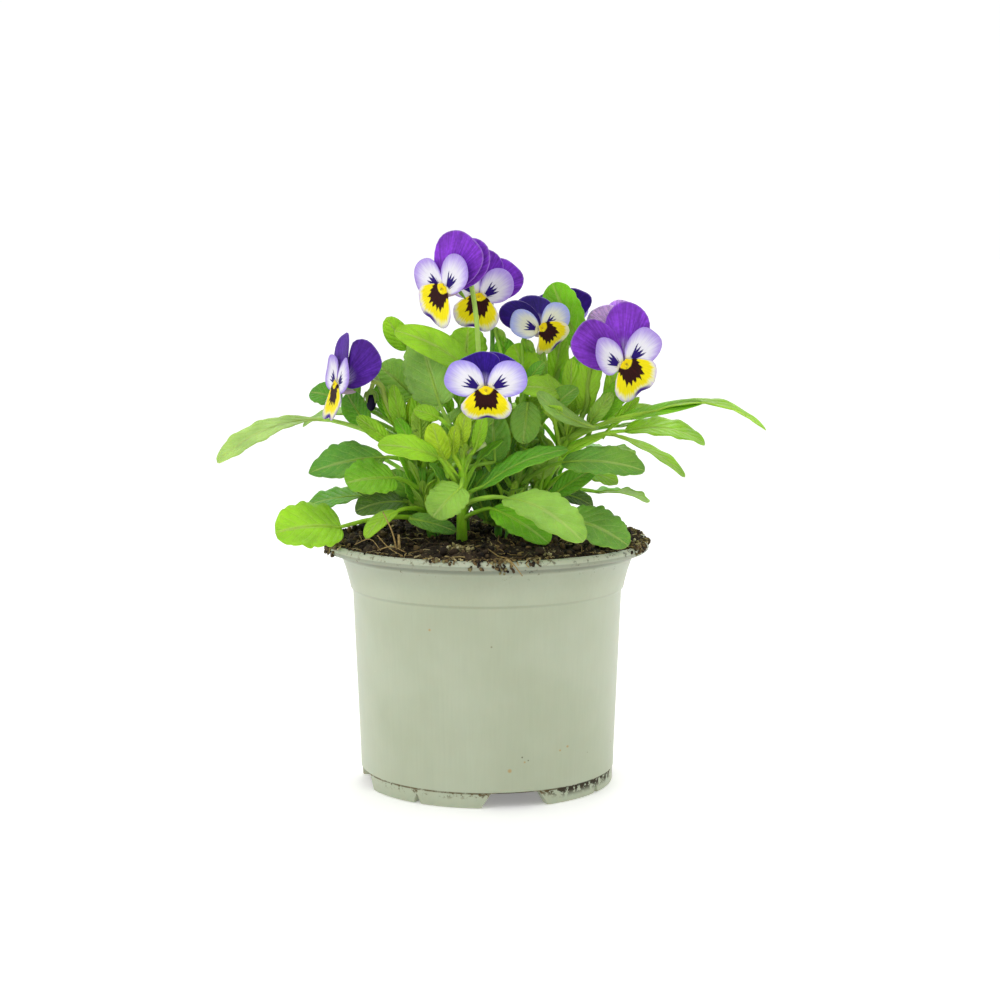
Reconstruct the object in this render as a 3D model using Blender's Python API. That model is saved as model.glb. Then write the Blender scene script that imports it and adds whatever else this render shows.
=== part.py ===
"""Potted horned violet: leafy stems and eight blooms in a growers' pot of peat.

The pot's axis is the Z axis, the floor it stands on is z = 0, and the side that is
looked at is -Y. Every size below is in millimetres and becomes metres when a mesh is made.
"""

import math
import random
from dataclasses import dataclass

import bmesh
import bpy
from mathutils import Matrix, Vector

MM = 0.001
GAP = 0.3
SEED = 11

# Pot, a common 12 cm growers' size
ROUND = 32
WALL = 0.9
RIM_R = 60.0
POT_H = 90.4
FLOOR_Z = 5.3
FLOOR_T = 1.1
POT_OUTSIDE = (
    (47.0, 5.3), (50.0, 72.3), (50.8, 73.3), (52.3, 79.4), (54.3, 85.0),
    (57.4, 86.9), (59.5, 87.4), (60.0, 88.8), (58.8, 90.4),
)
LIP_INNER = ((56.6, 90.4), (54.6, 88.4))
FEET = 4
FOOT_IN, FOOT_OUT = 43.4, 46.9
FIRST_GAP_DEG = -77.2
GAP_TOP_DEG, GAP_BOTTOM_DEG = 21.0, 30.0
DRAINS, DRAIN_R, DRAIN_RING = 6, 4.5, 33.0

# Soil
SOIL_TOP = 91.6
SOIL_LIP = POT_H + GAP
SOIL_STEPS = (0.0, 28.0, 50.0)
HOLE_DEPTH = 14.0

# Plant
SHEET = 0.72
STALK_R = 0.85
STALK_SIDES = 5

# Bloom, seen from its front: x to its right, y up, z out of its face
PETAL = 0.7
FOLD_AT = 4.6
CALYX_Y, CALYX_BEHIND = 2.7, 0.9
SEPALS = (90, 160, 212, 328, 380)
PETAL_ROWS = 5


@dataclass(frozen=True)
class Leaf:
    """A leaf: height of its stalk on the stem, blade from base to tip, way it faces."""

    height: float
    base: tuple
    tip: tuple
    facing: tuple
    width: float
    arch: float = 2.0
    form: str = "oval"
    teeth: int = 2


@dataclass(frozen=True)
class Flower:
    """A bloom: its throat, the way it faces, which way is up, and how its petals stand.

    Pairs give the right petal's value, then the left one's, as seen from its front. A fold
    is the axis that a petal leans back along, 0 across or 1 up, and its sign.
    """

    throat: tuple
    facing: tuple
    up: tuple = (0, 0, 10)
    size: float = 1.0
    tops: tuple = (62, 118)
    sides: tuple = (32, 148)
    lip: float = -90.0
    lean_tops: tuple = (20, 13)
    lean_sides: tuple = (-4, -4)
    lean_lip: float = 12.0
    top: float = 20.5
    wide: tuple = (17, 17)
    fold_right: tuple = (1, 1)


@dataclass(frozen=True)
class Petal:
    """A petal in its bloom: where it starts, its direction, size, lean, layer and outline."""

    start: tuple
    angle: float
    length: float
    width: float
    lean: float
    level: float
    blunt: float
    peak: float
    fold: tuple
    neck: float = 0.0


@dataclass(frozen=True)
class Shoot:
    """A leafy stem: its path out of the soil, its leaves and its bloom stalks."""

    path: tuple
    radius: float
    leaves: tuple
    stalks: tuple = ()
    stipules: int = 2


# How much narrower a lip is at its base, and over what part of its length
LIP_NECK, NECK_LENGTH = 0.55, 0.28

# Widest point of the blade along its length, and how blunt its tip is
FORMS = {"oval": (0.50, 0.52), "round": (0.46, 0.42), "long": (0.66, 0.55), "narrow": (0.7, 0.8)}

BLOOMS = {
    "bloom_1": Flower((-15, -22, 182), (-7, -7, -0.5), (4, -4, 10), 1.0, (84, 95), (84, 184),
                      -98, (20, 12), (-6, 0), 8, wide=(17, 23)),
    "bloom_2": Flower((-3, -3, 179), (-1, -10, -1), (3.6, 0, 10), 0.92, (60, 103), (58, 150),
                      -83, (32, 24), (-22, -4), 18, 18.5),
    "bloom_3": Flower((20, 4, 167), (3.5, -8, 1.5), (-4, -1, 10), 0.8, (64, 114), (14, 136),
                      -66, (38, 30), (-4, -4), 44, 19.5),
    "bloom_4": Flower((50, -14, 155), (4, -9, -1), (-5, -2, 10), 1.0, (51, 118), (16, 125),
                      -82, (18, 10), (-4, -38), 12, 21.5),
    "bloom_5": Flower((50, 40, 164.5), (1, 8, 4), size=0.8, tops=(76, 104), sides=(38, 142)),
    "bloom_6": Flower((27.5, 43, 168), (-1, 9, 3), size=0.8, sides=(44, 136)),
    "bloom_7": Flower((0, -46, 148), (-0.5, -9, -2), size=0.95, tops=(70, 110),
                      lean_tops=(49, 42), lean_lip=34, top=13.8),
    "bloom_8": Flower((-54, -10, 147), (-9.2, -3.6, 1), (0.5, 0, 10), 0.95, (50, 112),
                      (32, 148), -90, (40, 5), (-3, -3), -12, fold_right=(0, 1)),
}

SHOOTS = {
    "stem_front": Shoot(
        ((-9, -20, 92), (-9, -22, 105), (-8, -24, 131)), 2.1,
        (
            Leaf(115, (-9, -31, 113), (-19, -38, 103), (-2, -10, 5), 14, 1, "round", 3),
            Leaf(108, (-17, -33, 124), (-38, -42, 129), (-2, -8, 6), 10, 2),
            Leaf(112, (-15, -27, 122), (-19, -33, 136), (-3, -10, 0), 9, 1, teeth=0),
            Leaf(125, (-9, -28, 128), (-7, -30, 140), (-5, -10, 2), 7, 1, teeth=0),
            Leaf(105, (7, -39, 110), (33, -64, 98), (2, -7, 9), 18, 4, teeth=4),
            Leaf(100, (2, -28, 105), (22, -40, 94), (0, -5, 9), 15, 1.5, teeth=3),
            Leaf(108, (-2, -25, 112), (29, -27, 126), (-2, -5, 9), 11, 3, teeth=4),
            Leaf(121, (-17, -16, 141), (-24, -9, 165), (-1, -10, 2), 19, 1, "round", 4),
            Leaf(127, (-17, -24, 137), (-26, -25, 140), (0, -10, 5), 6, 1, teeth=0),
            Leaf(118, (3, -16, 120), (2, -19, 139), (0, -10, 1), 12, 1, teeth=0),
        ),
        (
            ("bloom_1", ((-3, -21, 143), (-3, -20, 161), (-4, -21, 175), (-6.5, -19, 188))),
            ("bloom_7", ((-2, -26, 140), (-1, -31, 150), (0, -37, 155))),
        ),
        3,
    ),
    "stem_low_left": Shoot(
        ((-20, -12, 92), (-22, -13, 100), (-24, -13, 111)), 1.6,
        (
            Leaf(99, (-52, -27, 98), (-75, -34, 97), (-1, -8, 8), 21, 2, "round", 3),
            Leaf(102, (-32, -29, 104), (-43, -35, 95), (-5, -7, 7), 8, 2, teeth=0),
            Leaf(104, (-29, -10, 105), (-48, -14, 102), (0, -6, 9), 14),
            Leaf(106, (-47, 2, 106), (-67, 4, 102), (0, -4, 10), 14, 1, teeth=3),
            Leaf(109, (-33, -24, 115.5), (-50, -32, 114.5), (-1, -8, 8), 17, 1, "round", 3),
        ),
    ),
    "stem_left": Shoot(
        ((-17, -3, 92), (-21, -5, 108), (-30, -6, 131)), 1.6,
        (
            Leaf(121, (-61, -3, 135), (-98, -14, 120), (1, -4, 10), 13, 5, "long", 3),
            Leaf(117, (-37, -15, 122), (-64, -23, 117), (0, -7, 8), 17, 2, teeth=4),
            Leaf(130, (-54, 6, 141), (-66, 8, 144), (0, -8, 8), 11, 1),
            Leaf(125, (-44, -2, 132), (-52, 4, 144), (-5, -10, 3), 10, 1, teeth=0),
            Leaf(130, (-49, 8, 141), (-50, 9, 153), (-3, -10, 2), 6, 1, teeth=0),
            Leaf(120, (-35, -14, 127), (-47, -17, 137), (-4, -8, 6), 6, 1, teeth=0),
        ),
        (
            ("bloom_8", ((-34, -6, 137), (-38, -4, 144), (-42, -2, 153), (-45, -3, 155))),
            ("dark_bud", ((-36, -9, 140), (-38, -10, 147), (-41, -9, 149))),
        ),
    ),
    "stem_back_left": Shoot(
        ((-8, 6, 92), (-9, 5, 115), (-10, 4, 143)), 1.6,
        (
            Leaf(127, (-27, 4, 143), (-40, 5, 154), (-2, -10, 4), 15, 1, "round"),
            Leaf(140, (-29, 7, 160), (-37, 3, 172), (-3, -9, 3), 9, 2, teeth=0),
            Leaf(138, (-6, -14, 153), (-33, -19, 168), (0, -9, 7), 12, 4, teeth=0),
            Leaf(141, (-8, 6, 151), (-7, 10, 168), (-2, -10, 1), 16, 1, "round"),
        ),
        (
            ("bloom_2", ((-5, 2, 146), (1, 1, 152), (2, 3, 169), (1, 5, 180))),
        ),
    ),
    "stem_middle": Shoot(
        ((4, -2, 92), (6, -3, 115), (12, -5, 135)), 1.5,
        (
            Leaf(130, (15, -12, 142), (13, -18, 127), (0, -10, 3), 11, 1, teeth=0),
            Leaf(131, (29, -7, 144), (12, -10, 147), (0, -7, 7), 11, 2),
            Leaf(128, (23, -12, 138), (33, -10, 147), (-6, -6, 4), 10, 1, teeth=0),
            Leaf(132.5, (15, -3, 148), (21, -5, 156), (-5, -8, 3), 6, 1, teeth=0),
        ),
    ),
    "stem_low_right": Shoot(
        ((8, -13, 92), (9, -12, 102), (12, -11, 112)), 1.6,
        (
            Leaf(101, (26, -26, 101), (50, -39, 93), (2, -7, 8), 18, 3, teeth=3),
            Leaf(105, (24, -14, 108), (40, -14, 118), (-4, -7, 4), 9, 1, teeth=0),
            Leaf(111, (27, -24, 121), (56, -34, 119), (0, -6, 8), 15, 2.5, teeth=4),
        ),
    ),
    "stem_right": Shoot(
        ((15, -5, 92), (20, -6, 108), (30, -9, 129)), 1.6,
        (
            Leaf(102, (27, -8, 108), (39, -8, 103), (0, -5, 9), 9, 1, teeth=0),
            Leaf(108, (32, -8, 117), (48, -10, 112), (0, -4, 9), 12, 1),
            Leaf(122, (45, -18, 131), (71, -26, 116), (2, -2, 8), 9, 2, "long"),
            Leaf(127, (59, -14, 138), (101, -16, 132), (0, -1.5, 10), 10, 7, "long", 3),
            Leaf(127.5, (52, -13, 136), (78, -16, 142), (0, -6, 9), 7, 1, teeth=0),
            Leaf(124, (51, 2, 130), (81, 4, 125), (0, -4, 9), 14, 4, teeth=3),
            Leaf(128, (42, 6, 134), (63, 10, 138), (0, -4, 8), 8, 1, teeth=0),
            Leaf(128, (40, -20, 133), (18, -22, 146), (0, -7, 8), 8, -3, "long", 0),
        ),
        (
            ("bloom_4", ((36, -4, 138), (37, -2, 147), (39, -2, 157), (43, -5, 162))),
        ),
    ),
    "stem_back_right": Shoot(
        ((10, 9, 92), (13, 10, 115), (18, 10, 139)), 1.5,
        (
            Leaf(132, (38, 24, 155), (24.5, 27, 184), (-5, -10, 2), 15, 1, "long", 4),
            Leaf(137, (16, 4, 147), (10, 4, 162), (-2, -10, 3), 13, 1),
            Leaf(136, (10, 10, 151), (5, 12, 164), (-2, -10, 2), 9, 1, teeth=0),
        ),
        (
            ("bloom_3", ((25, 13, 146), (27, 15, 156), (24, 15, 165), (22, 13, 169))),
        ),
    ),
    "stem_rear_right": Shoot(
        ((22, 22, 92), (26, 26, 115), (33, 32, 138)), 1.6,
        (
            Leaf(112, (40, 40, 120), (56, 56, 112), (3, 3, 9), 17, 3),
            Leaf(124, (50, 24, 130), (74, 22, 126), (2, 0, 9), 16, 3),
            Leaf(104, (42, 30, 104), (62, 38, 99), (3, 2, 9), 17, 2, "round"),
            Leaf(130, (30, 44, 138), (26, 62, 134), (0, 4, 9), 14, 3),
        ),
        (
            ("bloom_5", ((39, 30, 147), (43, 29, 155), (47, 30, 160))),
            ("bloom_6", ((31, 34, 150), (29, 34, 162), (28, 36, 169))),
        ),
    ),
    "stem_rear_middle": Shoot(
        ((0, 27, 92), (-2, 31, 112), (-3, 34, 130)), 1.6,
        (
            Leaf(108, (-5, 46, 116), (-10, 66, 108), (0, 4, 9), 17, 3, teeth=3),
            Leaf(102, (12, 44, 104), (20, 62, 99), (2, 4, 9), 18, 2, "round"),
            Leaf(120, (8, 42, 130), (14, 60, 124), (1, 5, 9), 14, 3),
            Leaf(128, (-11, 38, 140), (-17, 52, 146), (-2, 6, 8), 13, 2),
            Leaf(126, (0, 28, 138), (4, 24, 152), (1, -8, 3), 12, 1),
        ),
    ),
    "stem_rear_left": Shoot(
        ((-21, 18, 92), (-27, 24, 110), (-32, 28, 128)), 1.6,
        (
            Leaf(108, (-46, 38, 118), (-66, 48, 108), (-2, 3, 9), 17, 3, teeth=3),
            Leaf(103, (-44, 20, 104), (-66, 24, 99), (-3, 1, 9), 18, 2, "round"),
            Leaf(118, (-32, 44, 126), (-37, 62, 118), (-1, 4, 9), 15, 3),
            Leaf(125, (-50, 22, 134), (-70, 20, 130), (-2, -1, 9), 13, 3),
        ),
    ),
}

BUD = (-42.2, -8.0, 141.5)

COLOURS = {
    "pot_plastic": ((0.43, 0.49, 0.34, 1.0), 0.45),
    "soil": ((0.035, 0.02, 0.012, 1.0), 1.0),
    "leaf_green": ((0.13, 0.36, 0.035, 1.0), 0.5),
    "petal_violet": ((0.13, 0.03, 0.38, 1.0), 0.6),
    "petal_lilac": ((0.72, 0.68, 0.86, 1.0), 0.6),
    "petal_yellow": ((0.87, 0.68, 0.05, 1.0), 0.6),
}


def clear_scene():
    """Empty the scene that Blender starts with."""
    for obj in list(bpy.data.objects):
        bpy.data.objects.remove(obj, do_unlink=True)


def finish(obj, name, slot):
    """Give a node its name and its own material."""
    obj.name = obj.data.name = name
    colour, rough = COLOURS[slot]
    material = bpy.data.materials.new(name + "_" + slot)
    material.use_nodes = True
    shader = material.node_tree.nodes["Principled BSDF"]
    shader.inputs["Base Color"].default_value = colour
    shader.inputs["Roughness"].default_value = rough
    obj.data.materials.clear()
    obj.data.materials.append(material)
    return obj


def solid(name, points, faces):
    """Make a closed mesh object from millimetre points, its faces turned outwards."""
    mesh = bpy.data.meshes.new(name)
    mesh.from_pydata([[c * MM for c in p] for p in points], [], faces)
    bm = bmesh.new()
    bm.from_mesh(mesh)
    bmesh.ops.recalc_face_normals(bm, faces=bm.faces)
    bm.to_mesh(mesh)
    bm.free()
    obj = bpy.data.objects.new(name, mesh)
    bpy.context.scene.collection.objects.link(obj)
    return obj


def combine(target, pieces, operation, solver="MANIFOLD"):
    """Join or cut a solid with others in one Boolean, and remove the others."""
    group = bpy.data.collections.new("pieces")
    for piece in pieces:
        group.objects.link(piece)
        bpy.context.scene.collection.objects.unlink(piece)
    boolean = target.modifiers.new("combine", "BOOLEAN")
    boolean.operand_type = "COLLECTION"
    boolean.collection = group
    boolean.operation = operation
    boolean.solver = solver
    graph = bpy.context.evaluated_depsgraph_get()
    graph.update()
    mesh = bpy.data.meshes.new_from_object(target.evaluated_get(graph))
    target.modifiers.clear()
    old, target.data = target.data, mesh
    bpy.data.meshes.remove(old)
    for piece in pieces:
        bpy.data.objects.remove(piece, do_unlink=True)
    bpy.data.collections.remove(group)
    return target


def turned(profile, sides=ROUND):
    """Turn an outline that starts and ends on the axis into a closed solid."""
    points = [(0.0, 0.0, profile[0][1])]
    rings = profile[1:-1]
    for radius, z in rings:
        for k in range(sides):
            a = 2 * math.pi * k / sides
            points.append((radius * math.cos(a), radius * math.sin(a), z))
    points.append((0.0, 0.0, profile[-1][1]))
    last = len(points) - 1
    faces = []
    for k in range(sides):
        n = (k + 1) % sides
        faces.append((0, 1 + n, 1 + k))
        for r in range(len(rings) - 1):
            a, b = 1 + r * sides, 1 + (r + 1) * sides
            faces.append((a + k, a + n, b + n, b + k))
        end = 1 + (len(rings) - 1) * sides
        faces.append((end + k, end + n, last))
    return points, faces


def curve(points, steps):
    """Points along a smooth curve through the given ones."""
    pts = [Vector(p) for p in points]
    pts = [2 * pts[0] - pts[1]] + pts + [2 * pts[-1] - pts[-2]]
    out = []
    for i in range(1, len(pts) - 2):
        p0, p1, p2, p3 = pts[i - 1:i + 3]
        for k in range(steps):
            t = k / steps
            out.append(0.5 * (2 * p1 + (p2 - p0) * t + (2 * p0 - 5 * p1 + 4 * p2 - p3) * t * t
                              + (3 * p1 - p0 - 3 * p2 + p3) * t ** 3))
    return out + [pts[-2]]


def tube(points, radii, sides=STALK_SIDES):
    """A closed round tube along points, with a radius at each."""
    verts, faces = [], []
    side = None
    for i, p in enumerate(points):
        ahead = points[min(i + 1, len(points) - 1)] - points[max(i - 1, 0)]
        ahead.normalize()
        if side is None:
            side = ahead.orthogonal()
        side = (side - ahead * side.dot(ahead)).normalized()
        up = ahead.cross(side)
        for k in range(sides):
            a = 2 * math.pi * k / sides
            verts.append(p + (side * math.cos(a) + up * math.sin(a)) * radii[i])
    for i in range(len(points) - 1):
        for k in range(sides):
            n = (k + 1) % sides
            faces.append((i * sides + k, i * sides + n, (i + 1) * sides + n, (i + 1) * sides + k))
    end = (len(points) - 1) * sides
    faces.append(tuple(range(sides - 1, -1, -1)))
    faces.append(tuple(end + k for k in range(sides)))
    return solid("tube", verts, faces)


def sheet(rows):
    """A closed thin sheet over rows of (points, normal, thickness), both faces split alike."""
    across, along = len(rows[0][0]), len(rows)
    verts = [p + n * thick / 2 for points, n, thick in rows for p in points]
    verts += [p - n * thick / 2 for points, n, thick in rows for p in points]
    under = across * along
    faces = []
    for j in range(along - 1):
        for i in range(across - 1):
            a = j * across + i
            b, c, d = a + 1, a + across + 1, a + across
            halves = ((a, b, c), (a, c, d)) if i < across // 2 else ((a, b, d), (b, c, d))
            for half in halves:
                faces.append(half)
                faces.append(tuple(under + v for v in reversed(half)))
    edge = [(i, i + 1) for i in range(across - 1)]
    edge += [((along - 1) * across + i + 1, (along - 1) * across + i) for i in range(across - 1)]
    edge += [((j + 1) * across, j * across) for j in range(along - 1)]
    edge += [(j * across + across - 1, (j + 1) * across + across - 1) for j in range(along - 1)]
    for a, b in edge:
        faces.append((a, under + a, under + b, b))
    return solid("sheet", verts, faces)


def half_width(s, form):
    """Half of a blade's width at part s of its length, at most one half."""
    peak, blunt = FORMS[form]
    back = blunt * peak / (1 - peak)
    top = peak ** back * (1 - peak) ** blunt
    return 0.5 * s ** back * (1 - s) ** blunt / top


def leaf_piece(leaf, start, steps=None):
    """A leaf in one piece: a stalk from the stem, then an arched blade with toothed edges."""
    base, tip, facing = Vector(leaf.base), Vector(leaf.tip), Vector(leaf.facing)
    along = (tip - base).normalized()
    bend = (facing - along * facing.dot(along)).normalized()
    middle = (base + tip) / 2 + bend * 2 * leaf.arch
    rows = []

    def add(p, t, h, lift, thick):
        n = (facing - t * facing.dot(t)).normalized()
        side = t.cross(n)
        ends = [p - side * h + n * lift, p + side * h + n * lift]
        rows.append((([ends[0], p.copy(), ends[1]] if leaf.teeth else ends), n, thick))

    reach = (base - start).length
    if reach > 3:
        elbow = (start + base) / 2 + Vector((0, 0, 0.12 * reach))
        add(start, (elbow - start).normalized(), STALK_R * 1.2, 0, STALK_R * 2.2)
        add(start.lerp(elbow, 0.5).lerp(elbow.lerp(base, 0.5), 0.5),
            (base - start).normalized(), STALK_R, 0, STALK_R * 1.8)
    count = steps or (2 * leaf.teeth + 1 if leaf.teeth else 4)
    for k in range(count + 1):
        s = k / count
        p = base * (1 - s) ** 2 + middle * 2 * s * (1 - s) + tip * s * s
        t = ((middle - base) * (1 - s) + (tip - middle) * s).normalized()
        h = leaf.width * half_width(min(s, 0.985), leaf.form)
        if leaf.teeth and 0 < k < count:
            h *= 1.05 if k % 2 else 0.93
        h = max(h, STALK_R)
        add(p, t, h, 0.13 * h + 0.05 * h * math.sin(7 * s + leaf.width), SHEET if k else 1.1)
    return sheet(rows)


def at_height(path, height):
    """The point of a stem's path at a height."""
    for a, b in zip(path, path[1:]):
        if height <= b.z:
            return a.lerp(b, max(0.0, min(1.0, (height - a.z) / (b.z - a.z))))
    return path[-1].copy()


def bloom_frame(flower):
    """The placing of a bloom's own axes in the plant."""
    out = Vector(flower.facing).normalized()
    up = Vector(flower.up)
    up = (up - out * up.dot(out)).normalized()
    right = up.cross(out)
    place = Matrix((right, up, out)).transposed().to_4x4()
    scale = Matrix.Diagonal((flower.size, flower.size, 1, 1))
    return Matrix.Translation(Vector(flower.throat)) @ place @ scale


def make_petal(name, slot, place, petal, spur=None):
    """A petal: flat and narrow behind the throat, then a round limb that leans back."""
    a = math.radians(petal.angle)
    ahead = Vector((math.cos(a), math.sin(a), 0))
    side = Vector((-math.sin(a), math.cos(a), 0))
    back = petal.blunt * petal.peak / (1 - petal.peak)
    top = petal.peak ** back * (1 - petal.peak) ** petal.blunt
    turn = place.to_3x3().normalized()
    rows = []
    for k in range(PETAL_ROWS + 1):
        s = k / PETAL_ROWS
        t = min(s, 0.975)
        h = 0.5 * petal.width * t ** back * (1 - t) ** petal.blunt / top
        h = max(h * (1 - petal.neck * math.exp(-(t / NECK_LENGTH) ** 2)), 1.2)
        middle = Vector((*petal.start, petal.level)) + ahead * petal.length * s
        points = [place @ fold(middle + side * h * w, petal) for w in (-1, 0, 1)]
        rows.append((points, turn @ fold_normal(middle, petal), PETAL))
    piece = sheet(rows)
    if spur:
        combine(piece, [spur], "UNION")
    return finish(piece, name, slot)


def fold(p, petal):
    """Lean the part of a petal past its fold line back, about a line in the bloom's plane."""
    axis, way = petal.fold
    past = p[axis] * way - FOLD_AT
    if past <= 0:
        return p
    q, lean = p.copy(), math.radians(petal.lean)
    q[axis] = (FOLD_AT + past * math.cos(lean)) * way
    q.z -= past * math.sin(lean)
    return q


def fold_normal(p, petal):
    """The way a petal's front looks at a point of its middle line."""
    axis, way = petal.fold
    past = p[axis] * way - FOLD_AT
    lean = math.radians(petal.lean) * max(0.0, min(1.0, 0.5 + past / 3))
    n = Vector((0, 0, math.cos(lean)))
    n[axis] = math.sin(lean) * way
    return n


def back_level(flower):
    """The depth of the right upper petal, the rearmost one, at the throat."""
    return -2.2 - 0.014 * flower.lean_tops[0]


def make_bloom(name, f):
    """The five petals of one bloom, from the back one to the front ones."""
    place = bloom_frame(f)
    sets = (("right", 1, back_level(f), f.fold_right), ("left", -1, -1.0, (1, 1)))
    for k, (end, way, level, line) in enumerate(sets):
        petal = Petal((0.6 * way, 1.2), f.tops[k], f.top, f.wide[k], f.lean_tops[k], level,
                      0.42, 0.6, line)
        make_petal(f"{name}_upper_{end}", "petal_violet", place, petal)
        petal = Petal((1.5 * way, 0.8), f.sides[k], 14.8, 13.4, f.lean_sides[k], 1.0, 0.42, 0.56,
                      (0, way))
        make_petal(f"{name}_side_{end}", "petal_lilac", place, petal)
    path = [place @ Vector(p) for p in ((0, -1.2, 0), (0, -1.5, -3.0), (0, -1.0, -6.6))]
    spur = tube(path, [1.0, 1.0, 0.7])
    petal = Petal((0, 2.4), f.lip, 15.6, 19.0, f.lean_lip, 0.0, 0.34, 0.54, (1, -1),
                  LIP_NECK)
    make_petal(name + "_lip", "petal_yellow", place, petal, spur)


def calyx(flower):
    """The green cup behind a bloom with five pointed sepals, one five-armed solid."""
    place = bloom_frame(flower)
    lean = max(flower.lean_tops) if flower.fold_right[0] else flower.lean_tops[1]
    middle = Vector((0, CALYX_Y, back_level(flower) - CALYX_BEHIND - 0.014 * lean))
    drop = 4.5 * math.tan(math.radians(lean + 4))
    ring = []
    for k, angle in enumerate(SEPALS):
        a, b = math.radians(angle), math.radians((angle + SEPALS[(k + 1) % 5]) / 2 + (k == 4) * 180)
        ring.append((6.3 * math.cos(a), 6.3 * math.sin(a), -0.7 - drop))
        ring.append((1.7 * math.cos(b), 1.7 * math.sin(b), -0.1))
    points = [(0, 0, 0)] + ring + [(x, y, z - 0.7) for x, y, z in ring] + [(0, 0, -2.0)]
    faces = []
    for k in range(10):
        n = (k + 1) % 10
        faces += [(0, 1 + k, 1 + n), (21, 11 + n, 11 + k)]
        faces += [(1 + k, 11 + k, 11 + n), (1 + k, 11 + n, 1 + n)]
    turn = place.to_3x3().normalized()
    star = solid("calyx", [place @ (middle + Vector(p)) for p in points], faces)
    return [star], place @ (middle + Vector((0, 0, -1.2))), turn @ Vector((0, 0, -1))


def bud_cup():
    """The green cup that holds the dark bud from above."""
    top = Vector(BUD) + Vector((0, 0, 2.9))
    path = [top + Vector((0, 0, z)) for z in (0, 0.9, 2.0)]
    return [tube(path, [1.7, 1.6, 0.9], 6)], top + Vector((0, 0, 1.6)), Vector((0.3, 0.2, 1))


def make_dark_bud():
    """The closed dark bud, a drop that hangs under its cup."""
    heights = ((-3.3, 0.5), (-2.6, 1.3), (-0.9, 1.9), (1.0, 1.8), (2.6, 1.0))
    points = [Vector(BUD) + Vector((0, 0, z)) for z, _ in heights]
    finish(tube(points, [r for _, r in heights], 8), "dark_bud", "petal_violet")


def stipules(shoot, path, rng):
    """Narrow blades beside the leaf stalks, turned about the stem by a golden angle."""
    pieces = []
    low, high = path[0].z + 6, path[-1].z - 1
    turn = rng.uniform(0, 360)
    for k in range(shoot.stipules):
        z = low + (high - low) * (k + 0.6) / shoot.stipules
        start = at_height(path, z)
        a = math.radians(turn + 137.5 * k)
        out = Vector((math.cos(a), math.sin(a), 0))
        length = rng.uniform(7, 10)
        tip = start + out * length * 0.62 + Vector((0, 0, length * 0.8))
        leaf = Leaf(z, tuple(start), tuple(tip), tuple(out * -6 + Vector((0, 0, 8))),
                    rng.uniform(2.4, 3.2), 0.6, "narrow", 0)
        pieces.append(leaf_piece(leaf, start, 2))
    return pieces


def make_shoot(name, shoot, rng):
    """One leafy stem as one solid."""
    foot = Vector(shoot.path[0])
    path = curve(shoot.path, 2)
    root = [Vector((foot.x, foot.y, SOIL_TOP - HOLE_DEPTH + GAP)), Vector((foot.x, foot.y, 90))]
    whole = root + path
    size = [shoot.radius * (1 - 0.3 * i / (len(whole) - 1)) for i in range(len(whole))]
    stem = tube(whole, size, 6)
    pieces = stipules(shoot, path, rng)
    for leaf in shoot.leaves:
        pieces.append(leaf_piece(leaf, at_height(path, leaf.height)))
    for key, middle in shoot.stalks:
        green, end, back = bud_cup() if key == "dark_bud" else calyx(BLOOMS[key])
        pieces += green
        points = curve((path[-2],) + middle + (end + back * 2.2, end), 1)
        pieces.append(tube(points, [STALK_R * 1.1] * len(points)))
    finish(combine(stem, pieces, "UNION"), name, "leaf_green")


def make_pot():
    """The moulded pot: thin wall, floor, rolled lip, drain holes and castellated feet."""
    inner = [(r - WALL, z) for r, z in (POT_OUTSIDE[1], POT_OUTSIDE[3], POT_OUTSIDE[4])]
    floor = FLOOR_Z + FLOOR_T
    profile = [(0, FLOOR_Z), *POT_OUTSIDE, *LIP_INNER, *reversed(inner),
               (47.05 - WALL, floor), (0, floor)]
    pot = solid("pot", *turned(profile))
    feet = [foot(k) for k in range(FEET)]
    combine(pot, feet, "UNION")
    drains = []
    for k in range(DRAINS):
        a = 2 * math.pi * (k + 0.5) / DRAINS
        at = Vector((DRAIN_RING * math.cos(a), DRAIN_RING * math.sin(a), 0))
        drains.append(tube([at + Vector((0, 0, z)) for z in (3.0, 9.0)], [DRAIN_R] * 2, 8))
    combine(pot, drains, "DIFFERENCE")
    finish(pot, "pot", "pot_plastic")


def foot(index):
    """One foot: a length of the foot ring with sloped ends and a small nick in its middle."""
    pitch = 360 / FEET
    gap = FIRST_GAP_DEG + pitch * index
    top0, top1 = gap + GAP_TOP_DEG / 2, gap + pitch - GAP_TOP_DEG / 2
    low0, low1 = gap + GAP_BOTTOM_DEG / 2, gap + pitch - GAP_BOTTOM_DEG / 2
    middle = (top0 + top1) / 2
    bottom = [(top0, None), (low0, 0.0), ((low0 + middle) / 2, 0.0), (middle - 1.6, 0.0),
              (middle - 0.8, 2.4), (middle + 0.8, 2.4), (middle + 1.6, 0.0),
              ((low1 + middle) / 2, 0.0), (low1, 0.0), (top1, None)]
    high = FLOOR_Z + 0.5
    outline = [(a, high if z is None else z) for a, z in bottom]
    outline += [(a, high) for a, z in reversed(bottom) if z is not None]
    points = []
    for radius in (FOOT_IN, FOOT_OUT):
        for a, z in outline:
            a = math.radians(a)
            points.append((radius * math.cos(a), radius * math.sin(a), z))
    n = len(outline)
    faces = [(i, (i + 1) % n, n + (i + 1) % n, n + i) for i in range(n)]
    last = len(bottom) - 1
    for shift in (0, n):
        faces.append((shift, shift + 1, shift + n - 1))
        faces.append((shift + last - 1, shift + last, shift + last + 1))
        for k in range(1, last - 1):
            faces.append((shift + k, shift + k + 1, shift + n - k - 1, shift + n - k))
    return solid("foot", points, faces)


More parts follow.
